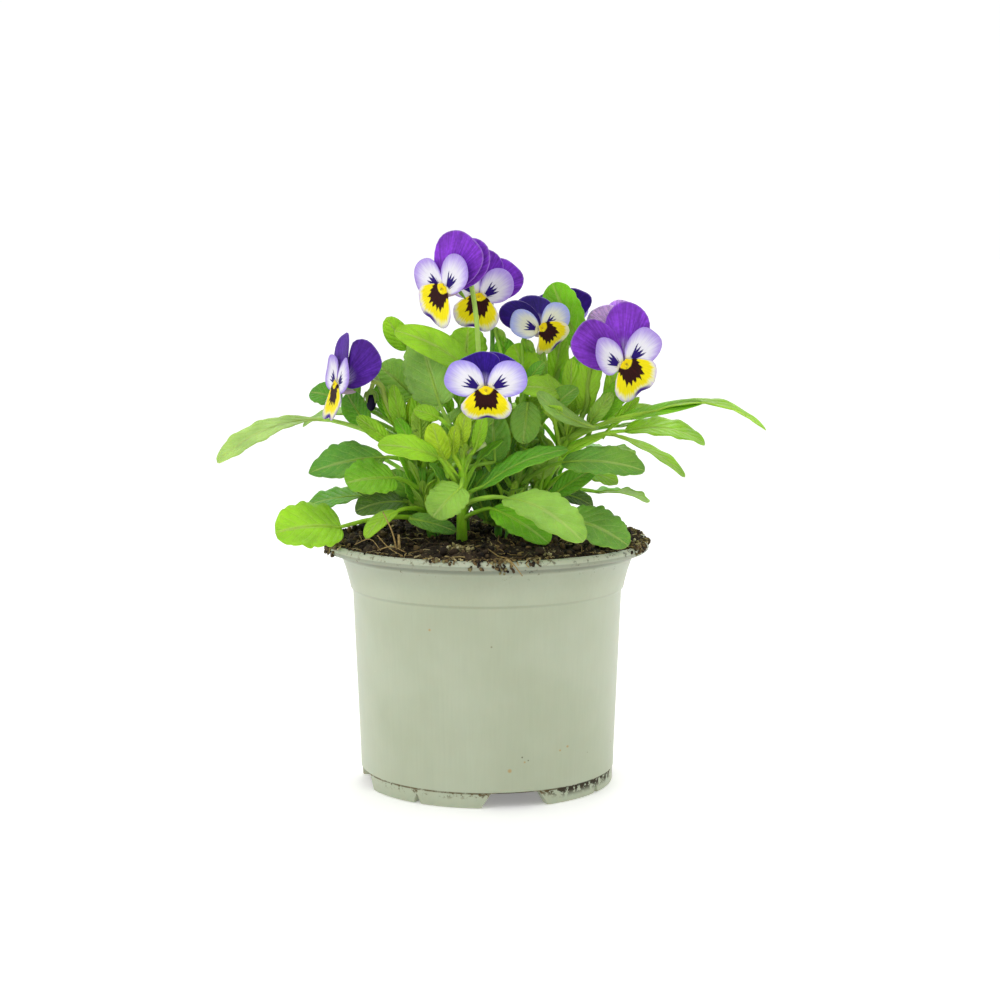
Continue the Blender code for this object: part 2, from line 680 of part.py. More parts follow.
def make_soil(rng):
    """The peat: a plug in the pot, heaped and spilled over the lip, with a hole per stem."""
    inside = [(46.15, FLOOR_Z + FLOOR_T), (49.1, 72.3), (51.4, 79.4), (53.4, 85.0)]
    plug = [(r - GAP * 1.4, z + GAP) for r, z in inside]
    profile = [(0, plug[0][1]), *plug, (54.6, SOIL_LIP + 0.1), (58.4, SOIL_LIP + 0.1),
               (58.4, SOIL_LIP + 1.0)]
    profile += [(r, SOIL_TOP) for r in reversed(SOIL_STEPS)]
    points, faces = turned(profile)
    first = 1 + (len(plug)) * ROUND
    spill = [rng.uniform(-1.0, 1.4) for _ in range(ROUND)]
    out = []
    for i, (x, y, z) in enumerate(points):
        k = (i - 1) % ROUND
        ring = (i - 1) // ROUND
        if first + ROUND <= i < first + 3 * ROUND:
            grow = 1 + spill[k] / 58.4
            x, y = x * grow, y * grow
        if i >= first + 2 * ROUND:
            z += rng.uniform(-0.1, 1.2) if i < first + 3 * ROUND else rng.uniform(-1.0, 1.6)
        out.append((x, y, z))
    soil = solid("soil", out, faces)
    holes = []
    for shoot in SHOOTS.values():
        x, y, _ = shoot.path[0]
        ends = [Vector((x, y, z)) for z in (SOIL_TOP - HOLE_DEPTH, SOIL_TOP + 8)]
        holes.append(tube(ends, [shoot.radius + 0.45] * 2, 8))
    finish(combine(soil, holes, "DIFFERENCE"), "soil", "soil")


def main():
    """Build every node of the potted plant."""
    clear_scene()
    rng = random.Random(SEED)
    make_pot()
    make_soil(rng)
    for name, shoot in SHOOTS.items():
        make_shoot(name, shoot, rng)
    for name, flower in BLOOMS.items():
        make_bloom(name, flower)
    make_dark_bud()


main()
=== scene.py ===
"""Potted horned violet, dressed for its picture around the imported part.

Lengths are in millimetres until a mesh is made. The pot's axis is Z, the floor is z = 0,
and the camera stands on the -Y side.
"""

import logging
import math
import random
from collections.abc import Callable
from dataclasses import dataclass
from enum import Enum
from functools import reduce

import bmesh
import bpy
from mathutils import Matrix, Quaternion, Vector, noise


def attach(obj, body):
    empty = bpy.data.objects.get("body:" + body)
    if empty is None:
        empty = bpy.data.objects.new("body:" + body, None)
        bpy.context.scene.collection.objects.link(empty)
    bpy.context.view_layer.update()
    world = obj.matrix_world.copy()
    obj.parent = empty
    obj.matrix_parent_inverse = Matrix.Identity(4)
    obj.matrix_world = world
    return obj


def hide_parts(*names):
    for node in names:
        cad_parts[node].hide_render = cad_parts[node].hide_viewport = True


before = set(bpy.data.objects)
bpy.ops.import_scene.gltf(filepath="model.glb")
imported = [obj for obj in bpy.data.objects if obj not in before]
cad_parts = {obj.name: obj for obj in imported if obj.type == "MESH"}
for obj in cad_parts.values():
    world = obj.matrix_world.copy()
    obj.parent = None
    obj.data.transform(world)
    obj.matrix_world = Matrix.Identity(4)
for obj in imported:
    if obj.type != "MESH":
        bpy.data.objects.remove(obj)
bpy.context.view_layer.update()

LOG = logging.getLogger("violet")
MM = 0.001
UV_NAME = "Surface"
TINT_NAME = "Tint"
EDGE_NAME = "Margin"
REACH_NAME = "Reach"
# Half of the angle that a petal spreads through, about its base.
FAN = math.radians(86)
# Degrees from one leaf on a stem to the next.
GOLDEN = 137.5
UP = Vector((0, 0, 1))
FULL_TURN = 2 * math.pi

Colour = tuple[float, float, float]
Point = tuple[float, float, float]


def linear(code: str) -> Colour:
    """Turn a written colour such as 8fc04a into the shader's linear numbers."""
    parts = [int(code[i:i + 2], 16) / 255 for i in (0, 2, 4)]
    return tuple(c / 12.92 if c < 0.04045 else ((c + 0.055) / 1.055) ** 2.4 for c in parts)


class Dye(Enum):
    """A colour with a name, written as two digits each of red, green and blue."""

    def rgb(self) -> Colour:
        """The colour in the shader's linear numbers."""
        return linear(self.value)


class Green(Dye):
    """The greens of the leaves and stems."""

    DEEP = "275619"
    DARK = "4f8e2a"
    MID = "58a31e"
    MOSS = "6ca53a"
    GREY = "85b350"
    BRIGHT = "72c409"
    APPLE = "92c948"
    LIME = "93d21c"
    YELLOW = "acd61c"
    PALE = "b0da74"


class Tint(Dye):
    """The other colours that are stored on the meshes."""

    UNDERSIDE = "b6d25a"
    LEAF_STALK = "a6d03a"
    BLOOM_STALK = "8dbb3a"
    BUD_STALK = "9db24a"
    SEPAL = "7fae3a"
    BUD_CUP = "8fb84a"
    GREEN_BUD = "8dbf3a"
    CUT_END = "b9cc86"
    CHIN = "fbe00a"
    KNOB = "c9b11c"
    BEARD = "f3f0cc"
    SPUR = "b9a9d8"
    CLOSED_BUD = "150b2c"
    STRAW = "9a8350"


class Form(Enum):
    """Outlines of a blade: where along it is widest, and how blunt its tip is."""

    OVAL = (0.50, 0.52)
    ROUND = (0.46, 0.42)
    LONG = (0.66, 0.55)
    SHARP = (0.48, 0.80)
    NARROW = (0.70, 0.80)


class Layer(Enum):
    """The kinds of petal in a bloom."""

    UPPER = "petal_violet"
    SIDE = "petal_lilac"
    LIP = "petal_yellow"


class Wire:
    """A value in a material's graph, which can be reckoned with like a number."""

    def __init__(self, graph: "Graph", socket: bpy.types.NodeSocket) -> None:
        """Keep the socket, and the graph that it is in."""
        self.graph, self.socket = graph, socket

    def __add__(self, other: object) -> "Wire":
        """This value and another."""
        return self.graph.math("ADD", self, other)

    def __sub__(self, other: object) -> "Wire":
        """This value less another."""
        return self.graph.math("SUBTRACT", self, other)

    def __mul__(self, other: object) -> "Wire":
        """This value times another."""
        return self.graph.math("MULTIPLY", self, other)

    def __abs__(self) -> "Wire":
        """This value without its sign."""
        return self.graph.math("ABSOLUTE", self)


class Graph:
    """Short ways to add and join the shader nodes of one material."""

    def __init__(self, name: str) -> None:
        """Start a material with its Principled shader.

        Args:
            name: the material's name.
        """
        self.material = bpy.data.materials.new(name)
        self.material.use_nodes = True
        self.tree = self.material.node_tree
        self.shader = self.tree.nodes["Principled BSDF"]

    def put(self, target: bpy.types.NodeSocket, value: object) -> None:
        """Join a socket to a wire, or set its number or colour.

        Args:
            target: the socket.
            value: a wire, a number, a written colour or a linear one.
        """
        if isinstance(value, str):
            value = linear(value)
        if isinstance(value, Wire):
            self.tree.links.new(value.socket, target)
        elif isinstance(value, tuple) and len(target.default_value) == 4:
            target.default_value = (*value[:3], 1.0)
        else:
            target.default_value = value

    def set(self, **values: object) -> None:
        """Set the shader's inputs, named with underscores for their spaces."""
        for key, value in values.items():
            self.put(self.shader.inputs[key.replace("_", " ")], value)

    def add(self, kind: str, inputs: dict[int | str, object], out: int | str = 0,
            **settings: object) -> Wire:
        """Add a node.

        Args:
            kind: the end of the node's type.
            inputs: the values of its inputs.
            out: the output that is handed on.
            **settings: its own settings, which are made first.

        Returns:
            The output's wire.
        """
        node = self.tree.nodes.new("ShaderNode" + kind)
        for key, value in settings.items():
            setattr(node, key, value)
        for key, value in inputs.items():
            self.put(node.inputs[key], value)
        return Wire(self, node.outputs[out])

    def math(self, kind: str, a: object, b: object = 0.0) -> Wire:
        """Work out one Math node."""
        return self.add("Math", {0: a, 1: b}, operation=kind)

    def most(self, *values: Wire) -> Wire:
        """The largest of the values."""
        return reduce(lambda a, b: self.math("MAXIMUM", a, b), values)

    def mix(self, share: object, a: object, b: object, kind: str = "MIX") -> Wire:
        """Mix two colours by the share that the second one has."""
        return self.add("Mix", {0: share, 6: a, 7: b}, 2, data_type="RGBA", blend_type=kind)

    def fade(self, value: Wire, low: float, high: float, a: float = 0.0, b: float = 1.0) -> Wire:
        """Run smoothly from a to b while a value goes from low to high."""
        span = dict(enumerate((value, low, high, a, b)))
        return self.add("MapRange", span, interpolation_type="SMOOTHSTEP")

    def grain(self, scale: float, detail: float = 3.0, at: Wire | None = None,
              rough: float = 0.55) -> Wire:
        """A noise pattern.

        Args:
            scale: spots to the metre, or to the unit of the given coordinates.
            detail: how many finer layers it has.
            at: the coordinates, or None for the object's own.
            rough: how strong the finer layers are.

        Returns:
            The pattern's wire.
        """
        inputs = {"Vector": at or self.place(), "Scale": scale, "Detail": detail, "Roughness": rough}
        return self.add("TexNoise", inputs, "Fac")

    def cells(self, scale: float, feature: str = "DISTANCE_TO_EDGE") -> Wire:
        """A cell pattern in the object's coordinates."""
        return self.add("TexVoronoi", {"Vector": self.place(), "Scale": scale}, "Distance", feature=feature)

    def place(self) -> Wire:
        """The object's coordinates, in metres."""
        return self.add("TexCoord", {}, "Object")

    def axes(self, vector: Wire) -> list[Wire]:
        """Split a vector into x, y and z."""
        x = self.add("SeparateXYZ", {0: vector})
        return [Wire(self, socket) for socket in x.socket.node.outputs]

    def vector(self, x: object, y: object, z: object = 0.0) -> Wire:
        """Put x, y and z together."""
        return self.add("CombineXYZ", {0: x, 1: y, 2: z})

    def flat(self) -> list[Wire]:
        """The two coordinates of the piece's own UV map."""
        return self.axes(self.add("UVMap", {}, uv_map=UV_NAME))[:2]

    def painted(self, name: str) -> tuple[Wire, Wire]:
        """The colour and the strength stored at the mesh's points."""
        colour = self.add("VertexColor", {}, "Color", layer_name=name)
        return colour, Wire(self, colour.socket.node.outputs["Alpha"])

    def stored(self, name: str) -> Wire:
        """The number stored at the mesh's points."""
        return self.add("Attribute", {}, "Fac", attribute_name=name)

    def relief(self, height: Wire, depth: float, strength: float = 0.6) -> None:
        """Give the surface small relief, with its depth in millimetres."""
        bump = {"Strength": strength, "Distance": depth * MM, "Height": height}
        self.set(Normal=self.add("Bump", bump))

    def times(self, colour: object, share: Wire) -> Wire:
        """A colour made darker or lighter by a number."""
        return self.mix(1.0, colour, self.vector(share, share, share), "MULTIPLY")

    def mottle(self, colour: object, pattern: Wire, low: float, high: float, dark: float,
               light: float) -> Wire:
        """A colour that a pattern makes darker below low and lighter above high."""
        return self.times(colour, self.fade(pattern, low, high, dark, light))


@dataclass(frozen=True)
class LeafFinish:
    """Living leaf: a tint of its own, broad painted patches of sunlight and shade, pale veins, a net of cells
    and light that soaks in.
    """

    veins: float = 8.0
    slope: float = 2.3
    gloss: float = 0.42
    # Colours of the broad painted patches of sunlight and of shade.
    painted_sunlight: str = "a9d23c"
    painted_shade: str = "2c6a20"
    speckle: str = "a9c94a"
    mesh: str = "b4d060"
    vein: str = "c4dc74"

    def material(self) -> bpy.types.Material:
        """Make the leaf material.

        Returns:
            The material.
        """
        g = Graph("living_leaf")
        tint, blade = g.painted(TINT_NAME)
        u, v = g.flat()
        side = u - 0.5
        off = abs(side) * 2.0
        # The veins of one half start between those of the other.
        half = g.math("GREATER_THAN", side, 0.0) * 0.5
        bent = v * self.veins - off * self.slope + half + g.grain(180.0) * 0.5
        wave = abs(g.math("FRACT", bent) - 0.5)
        ribs = g.fade(wave, 0.0, 0.10, 1.0, 0.0) * g.fade(off, 0.95, 0.5, 0.0, 1.0)
        lines = g.most(g.fade(off, 0.03, 0.13, 1.0, 0.0), ribs * 0.45) * blade
        net = g.fade(g.cells(900.0), 0.0, 0.08, 1.0, 0.0)
        cloud, broad, speck = g.grain(55.0, 4.0), g.grain(18.0, 2.0), g.grain(700.0, 2.0)
        colour = g.mottle(tint, cloud, 0.3, 0.7, 0.66, 1.26)
        # Broad painted patches of sunlight and of shade, spread by a wide pattern.
        colour = g.mix(g.fade(broad, 0.46, 0.66, 0.0, 0.22), colour, self.painted_sunlight)
        colour = g.mix(g.fade(broad, 0.46, 0.3, 0.0, 0.2), colour, self.painted_shade)
        colour = g.mix(g.fade(speck, 0.45, 0.75) * 0.18, colour, self.speckle)
        colour = g.mix(net * (blade * 0.13), colour, self.mesh)
        colour = g.mix(lines * 0.42, colour, self.vein)
        g.set(Base_Color=colour, Subsurface_Weight=0.2, Subsurface_Scale=0.004,
              Subsurface_Radius=(0.5, 0.9, 0.05), Roughness=g.fade(speck, 0.2, 0.8, self.gloss, 0.6),
              Specular_IOR_Level=0.38)
        swell = wave * (blade * 1.2) - lines * 0.6 + g.grain(260.0, 2.0) * 1.1
        g.relief(swell - net * 0.3, 0.55, 0.7)
        return g.material


@dataclass(frozen=True)
class Ground:
    """What a petal is painted from: its two colours, its own coordinates and its streaks."""

    tint: Wire
    margin: Wire
    turn: Wire
    out: Wire
    streak: Wire
    fine: Wire


@dataclass(frozen=True)
class PetalFinish:
    """Velvety petal, painted from its throat outwards."""

    layer: Layer
    throat: str = "d9cdf2"
    side_vein: str = "9a8fd0"
    side_glow: str = "f3ec9a"
    blotch: str = "240c6c"
    lip_fringe: str = "f4efc4"
    lip_spot: str = "3f2288"
    lip_deep: str = "f2b705"
    crown: str = "260506"
    crown_warm: str = "3d0f0c"
    rays: float = 7.0

    def material(self) -> bpy.types.Material:
        """Make the material of this kind of petal.

        Returns:
            The material.
        """
        g = Graph("petal_" + self.layer.name.lower())
        tint, _ = g.painted(TINT_NAME)
        margin, _ = g.painted(EDGE_NAME)
        u, out = g.flat()
        turn = (u - 0.5) * 2.0
        streak = g.grain(1.0, 3.0, g.vector(turn * 16.0, out * 1.3))
        fine = g.grain(1.0, 2.0, g.vector(turn * 46.0, out * 2.2))
        paint = {Layer.UPPER: self.upper, Layer.SIDE: self.side, Layer.LIP: self.lip}[self.layer]
        colour = paint(g, Ground(tint, margin, turn, out, streak, fine))
        g.set(Base_Color=colour, Roughness=0.6, Specular_IOR_Level=0.14, Subsurface_Weight=0.12,
              Subsurface_Scale=0.002, Subsurface_Radius=(0.9, 0.8, 0.9))
        g.relief(streak + fine * 0.5, 0.25, 0.5)
        return g.material

    def upper(self, g: Graph, p: Ground) -> Wire:
        """Violet with finer streaks, paler in the throat and along the rim.

        Args:
            g: the petal's graph.
            p: what it is painted from.

        Returns:
            The petal's colour.
        """
        colour = g.mottle(p.tint, p.streak, 0.3, 0.7, 0.74, 1.22)
        colour = g.mottle(colour, p.fine, 0.35, 0.65, 0.86, 1.12)
        colour = g.mottle(colour, g.grain(90.0, 3.0), 0.3, 0.7, 0.76, 1.2)
        colour = g.mottle(colour, g.grain(900.0, 2.0), 0.35, 0.65, 0.9, 1.1)
        base = g.fade(p.out, 0.46, 0.16) * g.fade(p.fine, 0.38, 0.58)
        colour = g.mix(base * 0.85, colour, self.throat)
        return g.mix(g.fade(p.out, 0.97, 0.995) * 0.35, colour, p.margin)

    def side(self, g: Graph, p: Ground) -> Wire:
        """White, lilac at its rim, with a dark rayed blotch by the throat.

        Args:
            g: the petal's graph.
            p: what it is painted from.

        Returns:
            The petal's colour.
        """
        edge = p.out + (p.streak - 0.5) * 0.35
        colour = g.mix(g.fade(edge, 0.55, 1.0), p.tint, p.margin)
        colour = g.mottle(colour, p.fine, 0.3, 0.7, 0.91, 1.03)
        colour = g.mottle(colour, g.grain(120.0, 2.0), 0.3, 0.7, 0.93, 1.03)
        vein = g.fade(p.fine, 0.58, 0.68) * g.fade(p.out, 0.85, 0.4)
        colour = g.mix(vein * 0.24, colour, self.side_vein)
        far, aside = self.spot(g, p)
        colour = g.mix(g.fade(far, 3.4, 1.2, 0.0, 0.7), colour, self.side_glow)
        ray = self.spikes(g, p.turn + p.fine * 0.10)
        reach = ray * 2.4 + 5.2 + (p.fine - 0.5) * 2.6
        flank = abs(aside) - far * 0.34 - ray * 0.55
        inner = g.fade(reach - far, -0.2, 0.2) * g.fade(flank, 0.25, -0.1)
        return g.mix(inner * g.fade(far, 1.5, 2.1), colour, self.blotch)

    def lip(self, g: Graph, p: Ground) -> Wire:
        """Yellow with a dark crown below the throat, a pale rim and a violet spot on it.

        Args:
            g: the petal's graph.
            p: what it is painted from.

        Returns:
            The petal's colour.
        """
        edge = p.out + (p.streak - 0.5) * 0.30 + (p.fine - 0.5) * 0.16
        colour = g.mix(g.fade(edge, 0.78, 0.92), p.tint, self.lip_fringe)
        colour = g.mix(g.fade(edge, 0.88, 1.0), colour, p.margin)
        colour = g.mottle(colour, p.fine, 0.3, 0.7, 0.92, 1.03)
        spot = g.fade(p.turn * p.turn, 0.04, 0.0) * g.fade(p.out, 0.86, 0.94)
        colour = g.mix(spot, colour, self.lip_spot)
        far, aside = self.spot(g, p)
        colour = g.mix(g.fade(far, 3.8, 2.6, 0.0, 0.2), colour, self.lip_deep)
        ray = self.spikes(g, p.turn + p.fine * 0.05)
        reach = ray * 2.2 + 8.7 - aside * aside * 0.06 + (p.fine - 0.5) * 3.4
        near = abs(aside) * -0.15 + 3.2
        crown = g.fade(reach - far, -0.25, 0.25) * g.fade(far - near, -0.2, 0.35)
        crown = crown * g.fade(abs(aside) + ray * -0.7, 4.1, 3.6)
        return g.mix(crown, colour, g.mix(g.fade(p.fine, 0.45, 0.7), self.crown, self.crown_warm))

    def spot(self, g: Graph, p: Ground) -> tuple[Wire, Wire]:
        """The distance from the petal's base and off its middle line, in millimetres."""
        far = p.out * g.stored(REACH_NAME)
        return far, far * g.math("SINE", p.turn * FAN)

    def spikes(self, g: Graph, turn: Wire) -> Wire:
        """Rays about the throat, 1 along each and 0 between them."""
        tip = abs(g.math("FRACT", turn * self.rays) - 0.5)
        return g.math("POWER", tip * 2.0, 1.4)


@dataclass(frozen=True)
class TintedFinish:
    """A plain living or dead stuff with the colour stored on its mesh."""

    name: str
    rough: float = 0.6
    spots: float = 500.0
    depth: float = 0.2
    soak: float = 0.0

    def material(self) -> bpy.types.Material:
        """Make the material.

        Returns:
            The material.
        """
        g = Graph(self.name)
        tint, _ = g.painted(TINT_NAME)
        spot = g.grain(self.spots, 4.0)
        g.set(Base_Color=g.mottle(tint, spot, 0.3, 0.7, 0.65, 1.3), Roughness=self.rough,
              Specular_IOR_Level=0.3, Subsurface_Weight=self.soak, Subsurface_Scale=0.002)
        g.relief(spot, self.depth)
        return g.material


@dataclass(frozen=True)
class PeatFinish:
    """Dark moist peat with crumbs, fibre and paler dust."""

    dark: str = "211a11"
    brown: str = "44382a"
    dust: str = "8b7e57"

    def material(self) -> bpy.types.Material:
        """Make the peat material.

        Returns:
            The material.
        """
        g = Graph("moist_peat")
        lump, fleck = g.grain(160.0, 6.0, rough=0.7), g.grain(900.0, 3.0)
        colour = g.mix(g.fade(lump, 0.4, 0.65), self.dark, self.brown)
        colour = g.mix(g.fade(fleck, 0.56, 0.7) * 0.8, colour, self.dust)
        g.set(Base_Color=colour, Roughness=0.92, Specular_IOR_Level=0.2)
        g.relief(lump + fleck * 0.5, 1.6, 0.9)
        return g.material


@dataclass(frozen=True)
class PotFinish:
    """Thin pale grey-green plastic, satin, with soil dirt at its lip and foot, and painted shade under the
    lip and under the wall at the front opening of the foot.

    A stain is its place across, its height and its size, in millimetres.
    """

    body: str = "b3bba2"
    shade: str = "abb398"
    dirt: str = "5a4a2a"
    # Dark soil clots on the dirtiest foot; the same colour is also the painted shadow under the wall at the
    # front opening of the foot.
    clot_and_gap_shadow: str = "332b1b"
    rust: str = "b08a4c"
    scuff: str = "eef0e6"
    step_at: float = 72.8
    seam_at: float = 5.35
    foot_top: float = 5.5
    stains: tuple[tuple[float, float, float], ...] = (
        (8.2, 13.6, 1.0), (28.9, 20.4, 0.6), (26.2, 19.4, 0.5), (13.5, 16.5, 0.5), (-20.0, 64.0, 0.6),
    )

    def material(self) -> bpy.types.Material:
        """Make the pot's material.

        Returns:
            The material.
        """
        g = Graph("growers_pot_plastic")
        x, y, z = g.axes(g.place())
        cloud, fine = g.grain(28.0, 3.0), g.grain(1500.0, 2.0)
        height = z * 1000.0
        colour = g.mix(g.fade(cloud, 0.3, 0.7), self.body, self.shade)
        # Painted shade under the lip, a darker line at the step, and faint streaks down the wall.
        colour = g.times(colour, self.tone(g, x, y, z, height))
        front = g.fade(y, 0.0, -0.02)
        # The foot to the right of the front gap is the dirtiest.
        near = g.fade(x, 0.019, 0.028) * front
        # Painted shadow: a dark line under the wall across the front opening of the foot.
        gap_shadow = g.fade(x, 0.001, 0.004) * g.fade(x, 0.019, 0.016) * front
        soil_and_gap_shadow = self.soil_and_gap_shadow(g, height, near, gap_shadow, cloud)
        for across, up, size in self.stains:
            away = g.math("POWER", x * 1000.0 - across, 2.0) + g.math("POWER", height - up, 2.0)
            stain = g.fade(g.math("SQRT", away), size, 0.3 * size) * front
            colour = g.mix(stain * 0.75, colour, self.rust)
        # Soil is dirt-coloured; the dirtiest foot gets dark clots, and the front opening gets the dark
        # painted shadow.
        colour = g.mix(soil_and_gap_shadow, colour, g.mix(g.most(near, gap_shadow), self.dirt, self.clot_and_gap_shadow))
        pale = g.fade(g.cells(120.0, "F1"), 0.05, 0.03) * g.fade(cloud, 0.42, 0.34)
        colour = g.mix(pale, colour, self.scuff)
        g.set(Base_Color=colour, Roughness=g.fade(soil_and_gap_shadow, 0.0, 1.0, 0.38, 0.9), Specular_IOR_Level=0.45,
              Subsurface_Weight=0.12, Subsurface_Scale=0.003)
        g.relief(fine * 0.25 + soil_and_gap_shadow, 0.12, 0.4)
        return g.material

    def tone(self, g: Graph, x: Wire, y: Wire, z: Wire, height: Wire) -> Wire:
        """The painted shade under the lip, the darker line at the step and the faint streaks down the wall.

        Args:
            g: the pot's graph.
            x: the place across, in metres.
            y: the depth, in metres.
            z: the height, in metres.
            height: the height, in millimetres.

        Returns:
            How bright the plastic is.
        """
        # Painted shade: darker up the neck, darkest just under the lip, and still dark on the lip's lower
        # band.
        under_lip_shade = g.fade(height, 75.0, 84.2, 1.0, 0.84) * g.fade(height, 84.4, 85.8, 1.0, 0.60)
        under_lip_shade = g.most(under_lip_shade, g.fade(height, 86.9, 87.3, 0.0, 0.68), g.fade(height, 87.9, 88.7))
        step = g.fade(abs(height - self.step_at), 0.15, 0.75, 0.84, 1.0)
        streak = g.grain(1.0, 4.0, g.vector(x * 1300.0, y * 1300.0, z * 45.0))
        return under_lip_shade * step * g.fade(streak, 0.25, 0.75, 0.98, 1.015)

    def soil_and_gap_shadow(self, g: Graph, height: Wire, near: Wire, gap_shadow: Wire, cloud: Wire) -> Wire:
        """Where soil sticks to the pot, and the painted shadow under the wall at the front opening of the
        foot.

        Args:
            g: the pot's graph.
            height: the height, in millimetres.
            near: where the dirtiest foot is.
            gap_shadow: where the painted shadow falls, at the front opening of the foot.
            cloud: a broad pattern that gathers the specks.

        Returns:
            How much soil and painted shadow there is.
        """
        blot, spot = g.grain(210.0, 5.0, rough=0.7), g.grain(520.0, 4.0, rough=0.7)
        # Along the lower edge of the wall: soil in blots, and painted shadow all along the front opening of
        # the foot.
        seam_dirt_and_gap_shadow = g.fade(abs(height - self.seam_at), 0.15, 0.55, 1.0, 0.0)
        seam_dirt_and_gap_shadow = seam_dirt_and_gap_shadow * g.most(g.fade(blot, 0.38, 0.52, 0.15, 0.85), gap_shadow)
        foot = g.fade(height + near * 1.1, 5.4, 2.2, 1.0, 0.0)
        foot = foot * g.math("SUBTRACT", 1.0, g.math("GREATER_THAN", height, self.foot_top))
        foot = foot * g.fade(spot + near * 0.085, 0.54, 0.59)
        lip = g.fade(height, 87.2, 90.2) * g.fade(spot, 0.54, 0.64, 0.0, 0.8)
        neck = g.fade(height, 80.0, 86.8) * g.fade(spot, 0.62, 0.68, 0.0, 0.7)
        speck = g.fade(g.cells(140.0, "F1"), 0.06, 0.03) * g.fade(cloud, 0.52, 0.66, 0.0, 0.7)
        return g.most(seam_dirt_and_gap_shadow, foot, lip, neck, speck)


@dataclass(frozen=True)
class FloorFinish:
    """Plain white studio floor."""

    colour: str = "fbfbfa"
    glow: float = 0.24

    def material(self) -> bpy.types.Material:
        """Make the floor's material.

        Returns:
            The material.
        """
        g = Graph("studio_floor")
        g.set(Base_Color=g.mottle(self.colour, g.grain(6.0, 2.0), 0.3, 0.7, 0.985, 1.0), Roughness=0.9,
              Emission_Color=(1.0, 1.0, 1.0), Emission_Strength=self.glow)
        return g.material
class Stock:
    """The shapes of one piece, gathered in one mesh with its tints and UV map."""

    def __init__(self) -> None:
        """Start with nothing."""
        self.bm = bmesh.new()

    def take(self, shape: bmesh.types.BMesh, tint: Colour, blade: float = 0.0,
             margin: Colour = (1.0, 1.0, 1.0), under: Colour | None = None, first: int = 0,
             out: float = 0.2) -> None:
        """Add a shape with its colour.

        Args:
            shape: the shape, which is used up.
            tint: its colour.
            blade: 1 where veins show, 0 on stalks.
            margin: the colour of its rim.
            under: the colour of the points from first on, or None for the same one.
            first: the first point of the under side.
            out: how far from the throat a shape without a map of its own is painted.
        """
        paint = shape.verts.layers.float_color.new(TINT_NAME)
        edge = shape.verts.layers.float_color.new(EDGE_NAME)
        if not shape.loops.layers.uv:
            layer = shape.loops.layers.uv.new(UV_NAME)
            for face in shape.faces:
                for loop in face.loops:
                    loop[layer].uv = (0.5, out)
        for i, vert in enumerate(shape.verts):
            vert[paint] = (*(under if under and i >= first else tint), blade)
            vert[edge] = (*margin, 1.0)
        mesh = bpy.data.meshes.new("shape")
        shape.to_mesh(mesh)
        shape.free()
        self.bm.from_mesh(mesh)
        bpy.data.meshes.remove(mesh)

    def finish(self, name: str, material: bpy.types.Material, slot: str, *nodes: str) -> bpy.types.Object:
        """Make the piece.

        Args:
            name: the piece's name.
            material: its finish.
            slot: the record's slot.
            *nodes: the solids that it stands for.

        Returns:
            The piece, riding on the part.
        """
        return dress(self.bm, name, material, slot, *nodes)


def dress(bm: bmesh.types.BMesh, name: str, material: bpy.types.Material, slot: str,
          *nodes: str) -> bpy.types.Object:
    """Turn a bmesh into a piece that rides on the part.

    Args:
        bm: the shape in millimetres, which is used up.
        name: the piece's name.
        material: its finish.
        slot: not used.
        *nodes: the solids that it stands for.

    Returns:
        The piece.
    """
    bmesh.ops.scale(bm, vec=(MM, MM, MM), verts=bm.verts)
    for face in bm.faces:
        face.smooth = True
    mesh = bpy.data.meshes.new(name)
    bm.to_mesh(mesh)
    bm.free()
    mesh.materials.append(material)
    piece = bpy.data.objects.new(name, mesh)
    bpy.context.scene.collection.objects.link(piece)
    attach(piece, "root")
    if nodes:
        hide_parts(*nodes)
    LOG.info("%s: %d faces", name, len(mesh.polygons))
    return piece

def heading(angle: float, length: float = 1.0) -> Vector:
    """The level vector of a length that points at an angle."""
    return Vector((length * math.cos(angle), length * math.sin(angle), 0))


def left_of(way: Vector) -> Vector:
    """The level vector a quarter turn to the left of another."""
    return Vector((-way.y, way.x, 0))


def rise(height: float) -> Vector:
    """The upright vector of a length."""
    return Vector((0, 0, height))


def blend(a: Colour, b: Colour, share: float) -> Colour:
    """Mix two colours by the share that the second one has."""
    return tuple((1 - share) * c + share * d for c, d in zip(a, b))


